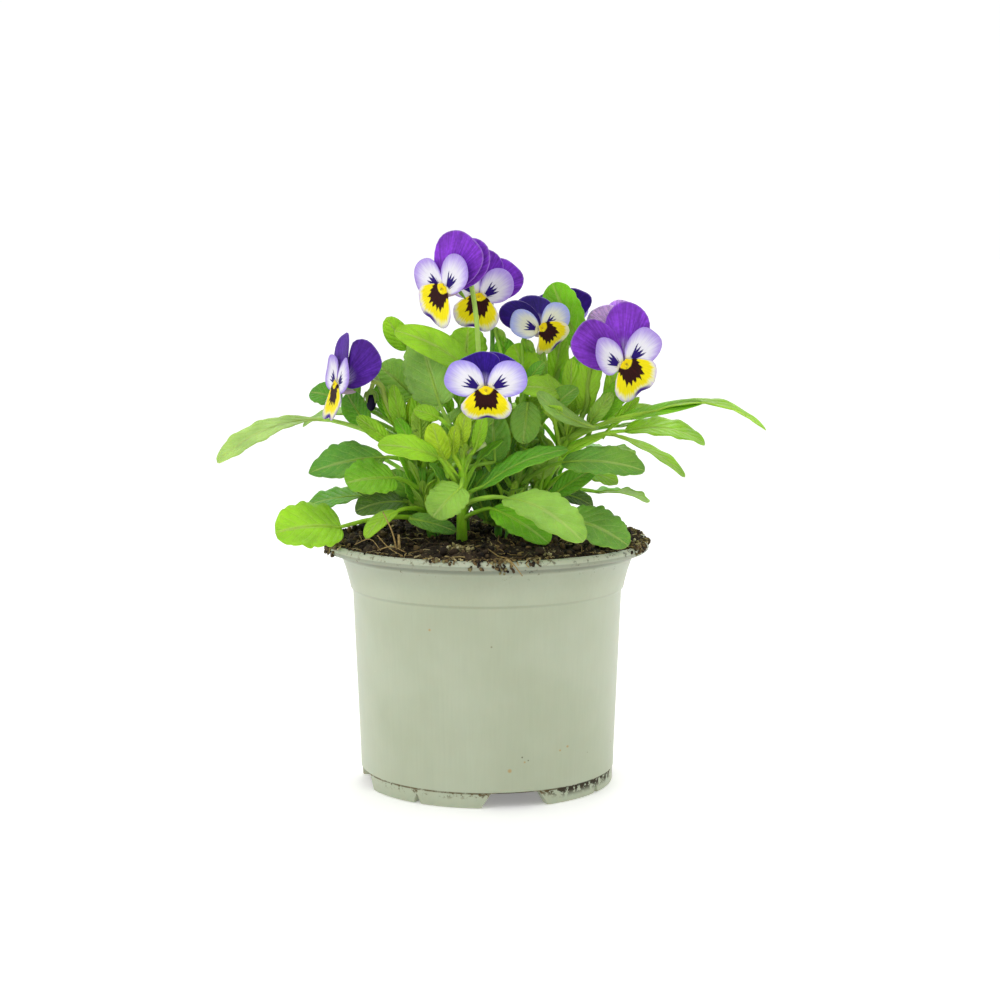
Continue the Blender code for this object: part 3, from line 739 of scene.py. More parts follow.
def turned(profile: list[tuple[float, float]], steps: int, closed: bool, merge: float) -> bmesh.types.BMesh:
    """Turn a profile once around the pot's axis.

    Args:
        profile: its points, as radius and height.
        steps: faces around the axis.
        closed: join its last point to its first.
        merge: points nearer than this become one.

    Returns:
        The shape.
    """
    bm = bmesh.new()
    verts = [bm.verts.new((r, 0, z)) for r, z in profile]
    ends = verts[1:] + (verts[:1] if closed else [])
    edges = [bm.edges.new(pair) for pair in zip(verts, ends)]
    bmesh.ops.spin(bm, geom=verts + edges, cent=(0, 0, 0), axis=(0, 0, 1), angle=FULL_TURN,
                   steps=steps, use_merge=True)
    bmesh.ops.remove_doubles(bm, verts=bm.verts, dist=merge)
    return bm
def sheet(across: int, along: int, place: Callable[[float, float], Vector],
          thick: float) -> tuple[bmesh.types.BMesh, int]:
    """A thin closed sheet, shaped by where each point of a grid goes.

    Args:
        across: faces from side to side.
        along: faces from end to end.
        place: the point for a place across, -1 to 1, and along, 0 to 1.
        thick: its thickness.

    Returns:
        The shape, and the number of points on its first side.
    """
    bm = bmesh.new()
    bmesh.ops.create_grid(bm, x_segments=across, y_segments=along, size=1.0)
    layer = bm.loops.layers.uv.new(UV_NAME)
    for face in bm.faces:
        for loop in face.loops:
            loop[layer].uv = (loop.vert.co.x / 2 + 0.5, loop.vert.co.y / 2 + 0.5)
    for vert in bm.verts:
        vert.co = place(vert.co.x, vert.co.y / 2 + 0.5)
    bmesh.ops.remove_doubles(bm, verts=bm.verts, dist=0.004)
    bmesh.ops.dissolve_degenerate(bm, edges=bm.edges, dist=0.002)
    first = len(bm.verts)
    bmesh.ops.solidify(bm, geom=bm.faces[:], thickness=thick)
    bmesh.ops.recalc_face_normals(bm, faces=bm.faces)
    return bm, first


def tube(path: list[Vector], radii: list[float], sides: int = 8) -> bmesh.types.BMesh:
    """A closed round tube along a path.

    Args:
        path: its middle line.
        radii: its radius at each point.
        sides: faces around it.

    Returns:
        The shape.
    """
    bm = bmesh.new()
    bmesh.ops.create_circle(bm, segments=sides, radius=1.0, cap_ends=True)
    edges = bm.edges[:]
    spin, last = Quaternion(), UP
    before = Matrix.Identity(4)
    for i, point in enumerate(path):
        ahead = (path[min(i + 1, len(path) - 1)] - path[max(i - 1, 0)]).normalized()
        spin = last.rotation_difference(ahead) @ spin
        last = ahead
        now = Matrix.LocRotScale(point, spin, Vector([max(radii[i], 0.02)] * 3))
        if i == 0:
            bmesh.ops.transform(bm, matrix=now, verts=bm.verts)
        else:
            made = bmesh.ops.extrude_edge_only(bm, edges=edges)["geom"]
            verts = [g for g in made if isinstance(g, bmesh.types.BMVert)]
            kept = set(verts)
            edges = [g for g in made if isinstance(g, bmesh.types.BMEdge) and set(g.verts) <= kept]
            bmesh.ops.transform(bm, matrix=now @ before.inverted(), verts=verts)
        before = now
    bmesh.ops.edgeloop_fill(bm, edges=edges)
    bmesh.ops.recalc_face_normals(bm, faces=bm.faces)
    return bm


def lump(at: Vector, size: Vector, rng: random.Random) -> bmesh.types.BMesh:
    """An uneven lump.

    Args:
        at: its middle.
        size: its half sizes.
        rng: the source of its unevenness.

    Returns:
        The shape.
    """
    uneven = 0.25
    bm = bmesh.new()
    bmesh.ops.create_icosphere(bm, subdivisions=1, radius=1.0)
    turn = Quaternion((rng.uniform(-1, 1), rng.uniform(-1, 1), rng.uniform(-1, 1), 1)).normalized()
    for vert in bm.verts:
        vert.co *= 1 + rng.uniform(-uneven, uneven)
        vert.co = turn @ Vector(a * b for a, b in zip(vert.co, size)) + at
    return bm


def smooth_path(points: list[Vector], steps: int) -> list[Vector]:
    """A smooth curve through some points.

    Args:
        points: the points that it goes through.
        steps: how many points it has for each stretch between two of them.

    Returns:
        The curve's points.
    """
    pts = [2 * points[0] - points[1]] + points + [2 * points[-1] - points[-2]]
    out = []
    for p0, p1, p2, p3 in zip(pts, pts[1:], pts[2:], pts[3:]):
        for k in range(steps):
            t = k / steps
            out.append(0.5 * (2 * p1 + (p2 - p0) * t + (2 * p0 - 5 * p1 + 4 * p2 - p3) * t * t
                              + (3 * p1 - p0 - 3 * p2 + p3) * t ** 3))
    return out + [points[-1]]


def bell(x: float, width: float) -> float:
    """A smooth hump, 1 at 0 and near 0 past its width."""
    return math.exp(-(x / width) ** 2)


@dataclass(frozen=True)
class Leaf:
    """A leaf: height of its stalk on the stem, blade from base to tip, and the way it faces."""

    height: float
    base: Point
    tip: Point
    facing: Point
    width: float
    arch: float = 2.0
    form: Form = Form.OVAL
    teeth: int = 6
    green: Green = Green.MID
    stalk: float = 0.85

    def half(self, s: float) -> float:
        """Half of the blade's width.

        Args:
            s: the part of its length, 0 to 1.

        Returns:
            The half width.
        """
        peak, blunt = self.form.value
        back = blunt * peak / (1 - peak)
        top = peak ** back * (1 - peak) ** blunt
        return 0.5 * self.width * max(s, 0.0) ** back * max(1 - s, 0.0) ** blunt / top

    def axis(self, s: float) -> tuple[Vector, Vector, Vector, Vector]:
        """How the blade stands at a place on its midrib.

        Args:
            s: the part of its length, 0 to 1.

        Returns:
            The point, the direction, the face normal and the side there.
        """
        base, tip, facing = Vector(self.base), Vector(self.tip), Vector(self.facing)
        along = (tip - base).normalized()
        bend = (facing - along * facing.dot(along)).normalized()
        middle = (base + tip) / 2 + bend * 2 * self.arch
        p = base * (1 - s) ** 2 + middle * 2 * s * (1 - s) + tip * s * s
        t = ((middle - base) * (1 - s) + (tip - middle) * s).normalized()
        n = (facing - t * facing.dot(t)).normalized()
        return p, t, n, t.cross(n)

    def point(self, w: float, q: float) -> Vector:
        """A point of the blade.

        Args:
            w: its place across, -1 to 1.
            q: its place along, 0 to 1.

        Returns:
            The point.
        """
        s = 0.55 * q + 0.225 * (1 - math.cos(math.pi * q))
        p, t, n, side = self.axis(s)
        h = self.half(s)
        if self.teeth:
            wave = abs(math.sin(math.pi * (self.teeth * s + (0.25 if w > 0 else 0.0)))) ** 0.6
            fade = min(1.0, 5 * s) * min(1.0, 8 * (1 - s))
            h *= 1 + 0.11 * (wave - 0.72) * fade * abs(w) ** 2
        h = max(h, self.stalk * (1 - s) ** 3)
        droop = 0.13 + 0.05 * math.sin(7 * s + self.width)
        ripple = 0.06 * abs(w) ** 3 * math.sin(2.6 * math.pi * self.teeth ** 0.5 * s + 2 * w + self.width)
        lift = h * (droop * abs(w) ** 1.6 + ripple) - 0.25 * bell(w * h, 0.9) * (1 - s)
        return p + side * h * w + n * lift

    def add_to(self, stock: Stock, start: Vector) -> None:
        """Add the blade, its midrib and its stalk.

        Args:
            stock: the stem's shapes.
            start: where the stalk leaves the stem.
        """
        tint = self.green.rgb()
        pale = blend(tint, Tint.UNDERSIDE.rgb(), 0.45)
        length = (Vector(self.tip) - Vector(self.base)).length
        fine = max(10, int(self.teeth * 6)) if self.teeth else max(8, int(length))
        across = 10 if self.width > 8 else 6
        shape, first = sheet(across, fine, self.point, 0.34)
        stock.take(shape, tint, 1.0, under=pale, first=first)
        base = Vector(self.base)
        reach = (base - start).length
        rib = [self.axis(s) for s in (0.04, 0.2, 0.45, 0.7, 0.9)]
        path = [p - n * 0.32 for p, _, n, _ in rib]
        radii = [0.62, 0.55, 0.42, 0.28, 0.1]
        if reach > 3:
            elbow = (start + base) / 2 + rise(0.12 * reach)
            bends = [start * (1 - t) ** 2 + elbow * 2 * t * (1 - t) + base * t * t
                     for t in (0, 0.15, 0.3, 0.45, 0.6, 0.75, 0.9)]
            path = bends + path
            radii = [1.05, 0.95, 0.9, 0.86, 0.84, 0.8, 0.74] + radii
        stock.take(tube(path, radii, 8), blend(tint, Tint.LEAF_STALK.rgb(), 0.5))


@dataclass(frozen=True)
class Palette:
    """The colours of one bloom."""

    upper: str = "7d35bd"
    rim: str = "b48ae0"
    side: str = "efecf6"
    side_rim: str = "b096e6"
    lip: str = "fbe60c"
    lip_rim: str = "dccdec"


PURPLE = Palette()
INDIGO = Palette(upper="2d1080", rim="9a7fd0", side_rim="a898f0")
CREAM = Palette(upper="270c74", rim="9a7fd0", side="ecefd2", side_rim="a9b4f0", lip_rim="f0eab8")
DUSK = Palette(upper="4d2290", rim="7f5cc4", side_rim="a48ae0", lip_rim="b3a6c8")
PALE = Palette(upper="dba9ff", rim="e6d0fa")
PLUM = Palette(upper="6f2bb2")


@dataclass(frozen=True)
class Petal:
    """A petal in its bloom: start, direction, size, lean, layer, outline and fold line."""

    start: tuple[float, float]
    angle: float
    length: float
    width: float
    lean: float
    level: float
    blunt: float
    peak: float
    fold: tuple[int, int]
    notch: float = 0.0
    neck: float = 0.0

    def reach(self, turn: float) -> float:
        """How far the outline is from the petal's base.

        Args:
            turn: the direction off the petal's axis, in radians.

        Returns:
            The distance.
        """
        if abs(turn) < 1e-3:
            return self.length
        low, high = 1e-4, 1.0
        for _ in range(26):
            t = (low + high) / 2
            if self.half(t) > math.tan(abs(turn)) * self.length * t:
                low = t
            else:
                high = t
        return math.hypot(self.half(low), self.length * low)

    def half(self, t: float) -> float:
        """Half of the petal's width.

        Args:
            t: the part of its length, 0 to 1.

        Returns:
            The half width.
        """
        back = self.blunt * self.peak / (1 - self.peak)
        top = self.peak ** back * (1 - self.peak) ** self.blunt
        return 0.5 * self.width * t ** back * (1 - t) ** self.blunt / top * (1 - self.neck * bell(t, 0.28))

    def point(self, w: float, s: float) -> Vector:
        """A point of the petal.

        Args:
            w: its place around the base, -1 to 1.
            s: its place outwards, 0 to 1.

        Returns:
            The point in the bloom's own axes.
        """
        turn = w * FAN
        rim = self.reach(turn) * (1 - self.notch * bell(turn, 0.16)
                                  + 0.014 * math.sin(9 * turn + self.angle))
        far = rim * s
        ahead = heading(math.radians(self.angle))
        side = left_of(ahead)
        p = Vector((*self.start, self.level)) + ahead * far * math.cos(turn) + side * far * math.sin(turn)
        p.z += 0.28 * s ** 3 * math.sin(6.5 * turn + self.angle) - 0.3 * s ** 2 + 0.15
        return self.folded(p)

    def folded(self, p: Vector) -> Vector:
        """Lean the part past the fold line back along a small round.

        Args:
            p: a point of the flat petal.

        Returns:
            Where the point ends up.
        """
        axis, way = self.fold
        lean, zone = math.radians(self.lean), 1.6
        run = p[axis] * way - Bloom.FOLD_AT + zone
        if run <= 0 or abs(lean) < 0.01:
            return p
        size = 2 * zone / lean
        bent = min(run, 2 * zone) / size
        along, deep = size * math.sin(bent), size * (1 - math.cos(bent))
        if run > 2 * zone:
            along += (run - 2 * zone) * math.cos(lean)
            deep += (run - 2 * zone) * math.sin(lean)
        q = p.copy()
        q[axis] = (Bloom.FOLD_AT - zone + along) * way
        q.z -= deep
        return q


@dataclass(frozen=True)
class Bloom:
    """A bloom of five petals: its throat, the way it faces, and how its petals stand.

    Pairs give the right petal's value, then the left one's, as seen from its front.
    """

    FOLD_AT = 4.6
    SIDE_SIZE = (14.8, 13.4)
    LIP_SIZE = (15.6, 19.0)
    GRID = (30, 16)
    THICK = 0.3

    throat: Point
    facing: Point
    up: Point = (0, 0, 10)
    size: float = 1.0
    tops: tuple[float, float] = (62, 118)
    sides: tuple[float, float] = (32, 148)
    lip: float = -90.0
    lean_tops: tuple[float, float] = (20, 13)
    lean_sides: tuple[float, float] = (-4, -4)
    lean_lip: float = 12.0
    top: float = 20.5
    wide: tuple[float, float] = (17, 17)
    fold_right: tuple[int, int] = (1, 1)
    palette: Palette = PURPLE

    def place(self) -> Matrix:
        """The placing of the bloom's own axes in the plant.

        Returns:
            The matrix.
        """
        out = Vector(self.facing).normalized()
        up = Vector(self.up)
        up = (up - out * up.dot(out)).normalized()
        turn = Matrix((up.cross(out), up, out)).transposed().to_4x4()
        scale = Matrix.Diagonal((self.size, self.size, 1, 1))
        return Matrix.Translation(Vector(self.throat)) @ turn @ scale

    def back_level(self) -> float:
        """The depth of the right upper petal, the rearmost one, at the throat."""
        return -2.2 - 0.014 * self.lean_tops[0]

    def petals(self) -> dict[str, tuple[Layer, Petal]]:
        """The five petals.

        Returns:
            Each petal's kind and form, by the end of its name.
        """
        made = {}
        sets = (("right", 1, self.back_level(), self.fold_right), ("left", -1, -1.0, (1, 1)))
        for k, (end, way, level, line) in enumerate(sets):
            made["upper_" + end] = (Layer.UPPER, Petal(
                (0.6 * way, 1.2), self.tops[k], self.top, self.wide[k], self.lean_tops[k], level,
                0.42, 0.6, line))
            made["side_" + end] = (Layer.SIDE, Petal(
                (1.5 * way, 0.8), self.sides[k], *self.SIDE_SIZE, self.lean_sides[k], 0.4 + 0.1 * way,
                0.42, 0.56, (0, way)))
        made["lip"] = (Layer.LIP, Petal(
            (0, 2.4), self.lip, *self.LIP_SIZE, self.lean_lip, 1.2, 0.34, 0.54, (1, -1), 0.07, 0.55))
        return made

    def build(self, name: str, finishes: dict[Layer, bpy.types.Material],
              plain: bpy.types.Material, rng: random.Random) -> None:
        """Make the petals, the spur and the heart of the bloom.

        Args:
            name: the bloom's name.
            finishes: the materials by kind of petal.
            plain: the heart's material.
            rng: the source of chance.
        """
        place, colours = self.place(), self.palette
        tints = {Layer.UPPER: (colours.upper, colours.rim), Layer.SIDE: (colours.side, colours.side_rim),
                 Layer.LIP: (colours.lip, colours.lip_rim)}
        for end, (layer, petal) in self.petals().items():
            stock = Stock()
            shape, _ = sheet(*self.GRID, lambda w, s, petal=petal: place @ petal.point(w, s), self.THICK)
            self.store_reach(shape, petal)
            tint, rim = (linear(c) for c in tints[layer])
            stock.take(shape, tint, 1.0, rim)
            if layer is Layer.LIP:
                bends = ((0, -1.2, 1.1), (0, -1.5, -3.0), (0, -1.0, -6.6))
                path = smooth_path([place @ Vector(p) for p in bends], 3)
                lilac = Tint.SPUR.rgb()
                stock.take(tube(path, [1.0, 1.0, 0.95, 0.95, 0.9, 0.8, 0.55], 10), lilac, 0.0, lilac)
            stock.finish(f"{name}_{end}", finishes[layer], layer.value, f"{name}_{end}")
        self.heart(name, place, plain, rng)

    @staticmethod
    def store_reach(shape: bmesh.types.BMesh, petal: Petal) -> None:
        """Store at each point how far the outline is in its direction from the base.

        Args:
            shape: the petal's mesh.
            petal: its form.
        """
        far = shape.verts.layers.float.new(REACH_NAME)
        flat = shape.loops.layers.uv[UV_NAME]
        for face in shape.faces:
            for loop in face.loops:
                turn = (loop[flat].uv.x * 2 - 1) * FAN
                loop.vert[far] = petal.reach(turn)

    def heart(self, name: str, place: Matrix, plain: bpy.types.Material, rng: random.Random) -> None:
        """Make the yellow chin, the green knob and the white beard at the throat.

        Args:
            name: the bloom's name.
            place: its placing.
            plain: the material.
            rng: the source of chance.
        """
        stock = Stock()
        chin = bmesh.new()
        bmesh.ops.create_uvsphere(chin, u_segments=16, v_segments=8, radius=1.0)
        bmesh.ops.transform(chin, matrix=place @ Matrix.Translation((0, 0.2, 1.4))
                            @ Matrix.Diagonal((1.0, 1.15, 0.6, 1)), verts=chin.verts)
        stock.take(chin, Tint.CHIN.rgb())
        knob = bmesh.new()
        bmesh.ops.create_icosphere(knob, subdivisions=2, radius=0.5)
        bmesh.ops.transform(knob, matrix=place @ Matrix.Translation((0, 0.9, 1.9)), verts=knob.verts)
        stock.take(knob, Tint.KNOB.rgb())
        for way in (-1, 1):
            for _ in range(14):
                start = Vector((way * rng.uniform(1.0, 2.2), rng.uniform(0.9, 2.4), 0.7))
                reach = Vector((-way * rng.uniform(0.1, 0.7), rng.uniform(-0.5, 0.3), rng.uniform(0.3, 0.7)))
                hair = tube([place @ start, place @ (start + reach)], [0.1, 0.05], 4)
                stock.take(hair, Tint.BEARD.rgb())
        stock.finish(name + "_heart", plain, "petal_yellow")

    def calyx(self, stock: Stock) -> tuple[Vector, Vector]:
        """Add the green cup with its five pointed sepals.

        Args:
            stock: the leafy stem that carries it.

        Returns:
            Where the stalk meets the cup, and the way out of its back.
        """
        place = self.place()
        lean = max(self.lean_tops) if self.fold_right[0] else self.lean_tops[1]
        middle = Vector((0, 2.7, self.back_level() - 0.9 - 0.014 * lean))
        drop = 4.5 * math.tan(math.radians(lean + 4))
        green = Tint.SEPAL.rgb()
        for angle in (90, 160, 212, 328, 380):
            out = heading(math.radians(angle))

            def sepal(w: float, s: float, out: Vector = out) -> Vector:
                """The sepal's point at place w across and s outwards."""
                fall = -0.4 - (drop + 0.4) * s ** 1.1
                wide = 1.35 * (1 - s) ** 0.7 * (0.55 + 0.9 * s)
                return place @ (middle + out * 6.4 * s + left_of(out) * wide * w + rise(fall + 0.2 * w * w))

            shape, _ = sheet(4, 8, sepal, 0.4)
            stock.take(shape, green, 1.0)
        turn = place.to_3x3().normalized()
        back = turn @ rise(-1)
        end = place @ (middle + rise(-1.2))
        cup = [place @ (middle + rise(z)) for z in (-0.2, -0.8, -1.6, -2.4)]
        stock.take(tube(cup, [1.7, 1.7, 1.35, 0.9], 12), green)
        return end, back


@dataclass(frozen=True)
class Shoot:
    """A leafy stem: its path out of the soil, its leaves and its bloom stalks."""

    LOW_GREENS = (Green.DEEP, Green.DARK, Green.MID)
    HIGH_GREENS = (Green.BRIGHT, Green.LIME, Green.LIME, Green.APPLE)
    BURIED = (82.0, 88.0)

    path: tuple[Point, ...]
    radius: float
    leaves: tuple[Leaf, ...]
    stalks: tuple[tuple[str, tuple[Point, ...]], ...] = ()
    green: Green = Green.BRIGHT
    tufts: int = 4
    thicket: int = 0
    buds: tuple[tuple[Point, ...], ...] = ()
    stubs: tuple[tuple[Point, Point], ...] = ()

    def at_height(self, path: list[Vector], height: float) -> Vector:
        """The point of the stem at a height.

        Args:
            path: the stem's points.
            height: the height.

        Returns:
            The point.
        """
        for a, b in zip(path, path[1:]):
            if height <= b.z:
                return a.lerp(b, max(0.0, min(1.0, (height - a.z) / (b.z - a.z))))
        return path[-1].copy()

    def build(self, name: str, material: bpy.types.Material, rng: random.Random) -> None:
        """Make the stem with all that grows on it as one piece.

        Args:
            name: the piece's name.
            material: the leaf material.
            rng: the source of chance.
        """
        stock = Stock()
        rough = smooth_path([Vector(p) for p in self.path], 2)
        path = smooth_path([Vector(p) for p in self.path], 6)
        foot = path[0]
        whole = [Vector((foot.x, foot.y, z)) for z in self.BURIED] + path
        radii = [self.radius * (1 - 0.3 * i / (len(whole) - 1)) for i in range(len(whole))]
        stock.take(tube(whole, radii, 12), self.green.rgb())
        for leaf in self.leaves:
            leaf.add_to(stock, self.at_height(path, leaf.height))
        self.add_stipules(stock, path, rng)
        self.add_thicket(stock, path, rng)
        for route in self.buds:
            self.add_bud(stock, route)
        for start, end in self.stubs:
            stock.take(tube([Vector(start), Vector(end)], [1.15, 0.95], 10), Tint.CUT_END.rgb())
        for key, middle in self.stalks:
            self.add_stalk(stock, key, rough[-2], middle)
        stock.finish(name, material, "leaf_green", name)

    def add_stalk(self, stock: Stock, key: str, start: Vector, middle: tuple[Point, ...]) -> None:
        """Add a bloom's stalk and green cup.

        Args:
            stock: the stem's shapes.
            key: the bloom's name.
            start: where the stalk leaves the stem.
            middle: points that it passes.
        """
        if key == "dark_bud":
            top = Vector(DarkBud.at) + rise(2.9)
            end, back = top + rise(1.6), Vector((0.3, 0.2, 1)).normalized()
            DarkBud.cup(stock)
            tint = Tint.BUD_STALK.rgb()
        else:
            end, back = BLOOMS[key].calyx(stock)
            tint = linear(STALK_GREENS.get(key, Tint.BLOOM_STALK.value))
        points = [start, *(Vector(p) for p in middle), end + back * 2.2, end]
        path = smooth_path(points, 5)
        radii = [0.95 - 0.15 * i / (len(path) - 1) for i in range(len(path))]
        stock.take(tube(path, radii, 9), tint)

    def add_thicket(self, stock: Stock, path: list[Vector], rng: random.Random) -> None:
        """Add the small upright leaves that crowd the inside of the plant.

        Args:
            stock: the stem's shapes.
            path: the stem's points.
            rng: the source of chance.
        """
        turn = rng.uniform(0, 360)
        low, high = path[0].z + 1, path[-1].z - 4
        for k in range(self.thicket):
            part = (k + 0.3) / self.thicket
            start = self.at_height(path, low + (high - low) * part)
            a = math.radians(turn + GOLDEN * k)
            out = heading(a)
            if start.y < -8 and out.y < 0:
                out.y = -0.3 * out.y
            out.x -= 0.012 * start.x
            length = rng.uniform(11, 20)
            base = start + out * rng.uniform(4, 8) + rise(rng.uniform(5, 12))
            tip = base + out * length * rng.uniform(0.3, 0.8) + rise(length * rng.uniform(0.4, 0.9))
            shades = self.LOW_GREENS if part < 0.45 else self.HIGH_GREENS
            leaf = Leaf(start.z, tuple(base), tuple(tip), tuple(out * -4 + Vector((0, -2, 8))),
                        rng.uniform(6, 10), 1.2, rng.choice((Form.OVAL, Form.LONG)), 5, rng.choice(shades))
            leaf.add_to(stock, start)

    @staticmethod
    def add_bud(stock: Stock, route: tuple[Point, ...]) -> None:
        """Add a small green bud that nods at the end of its stalk.

        Args:
            stock: the stem's shapes.
            route: the stalk's points.
        """
        path = smooth_path([Vector(p) for p in route], 4)
        green = Tint.GREEN_BUD.rgb()
        stock.take(tube(path, [0.6] * len(path), 7), green)
        end = path[-1]
        body = [end + Vector((0.5 * k, -0.2 * k, -0.9 * k)) for k in range(6)]
        stock.take(tube(body, [0.7, 1.4, 1.7, 1.6, 1.1, 0.3], 12), green)
        for k in range(5):
            a = math.radians(72 * k)
            out = heading(a)
            base, tip = end + out * 1.2, end + out * 1.9 + Vector((1.6, -0.6, -4.4))
            Leaf(0, tuple(base), tuple(tip), tuple(out * 8), 1.5, 0.3, Form.OVAL, 0, Green.BRIGHT,
                 0.4).add_to(stock, base)

    def add_stipules(self, stock: Stock, path: list[Vector], rng: random.Random) -> None:
        """Add the small leafy blades beside the leaf stalks.

        Args:
            stock: the stem's shapes.
            path: the stem's points.
            rng: the source of chance.
        """
        low, high = path[0].z + 5, path[-1].z - 1
        turn = rng.uniform(0, 360)
        for k in range(self.tufts * 2):
            z = low + (high - low) * (k // 2 + 0.6) / self.tufts
            start = self.at_height(path, z)
            a = math.radians(turn + GOLDEN * (k // 2) + (28 if k % 2 else -28))
            out = heading(a)
            length = rng.uniform(8, 15)
            tip = start + out * length * rng.uniform(0.35, 0.6) + rise(length * 0.85)
            green = rng.choice((Green.LIME, Green.BRIGHT, Green.MID, self.green))
            leaf = Leaf(z, tuple(start), tuple(tip), tuple(out * -6 + rise(8)),
                        rng.uniform(2.0, 4.2), 0.8, Form.NARROW, 0, green, 0.4)
            leaf.add_to(stock, start)


class DarkBud:
    """The closed dark bud that hangs under its cup."""

    at: Point = (-42.2, -8.0, 141.5)

    @classmethod
    def cup(cls, stock: Stock) -> None:
        """Add the cup and its sepals to the stem that carries the bud.

        Args:
            stock: the stem's shapes.
        """
        top = Vector(cls.at) + rise(2.9)
        green = Tint.BUD_CUP.rgb()
        path = [top + rise(z) for z in (-0.1, 0.6, 1.3, 2.0)]
        stock.take(tube(path, [1.75, 1.7, 1.3, 0.8], 12), green)
        for k in range(5):
            a = math.radians(20 + 72 * k)
            out = heading(a)
            def sepal(w: float, s: float, out: Vector = out) -> Vector:
                """The sepal's point at place w across and s downwards."""
                return (top + out * (1.75 + 0.9 * math.sin(2.4 * s)) + left_of(out) * 0.9 * (1 - s) ** 0.6 * w
                        + rise(0.8 - 4.0 * s))

            shape, _ = sheet(3, 5, sepal, 0.25)
            stock.take(shape, green, 1.0)

    def build(self, material: bpy.types.Material) -> None:
        """Make the bud with its rolled petals.

        Args:
            material: its finish.
        """
        outline = ((-3.3, 0.3), (-3.0, 0.9), (-2.4, 1.4), (-1.4, 1.8), (0.0, 1.95), (1.3, 1.75), (2.6, 1.1))
        stock = Stock()
        path = [Vector(self.at) + rise(z) for z, _ in outline]
        shape = tube(path, [r for _, r in outline], 20)
        for vert in shape.verts:
            flat = Vector((vert.co.x - self.at[0], vert.co.y - self.at[1], 0))
            turn = math.atan2(flat.y, flat.x) + 0.35 * vert.co.z
            vert.co -= flat * 0.10 * (0.5 + 0.5 * math.sin(3 * turn))
        dark = Tint.CLOSED_BUD.rgb()
        stock.take(shape, dark, 0.0, dark, out=0.6)
        stock.finish("dark_bud", material, "petal_violet", "dark_bud")


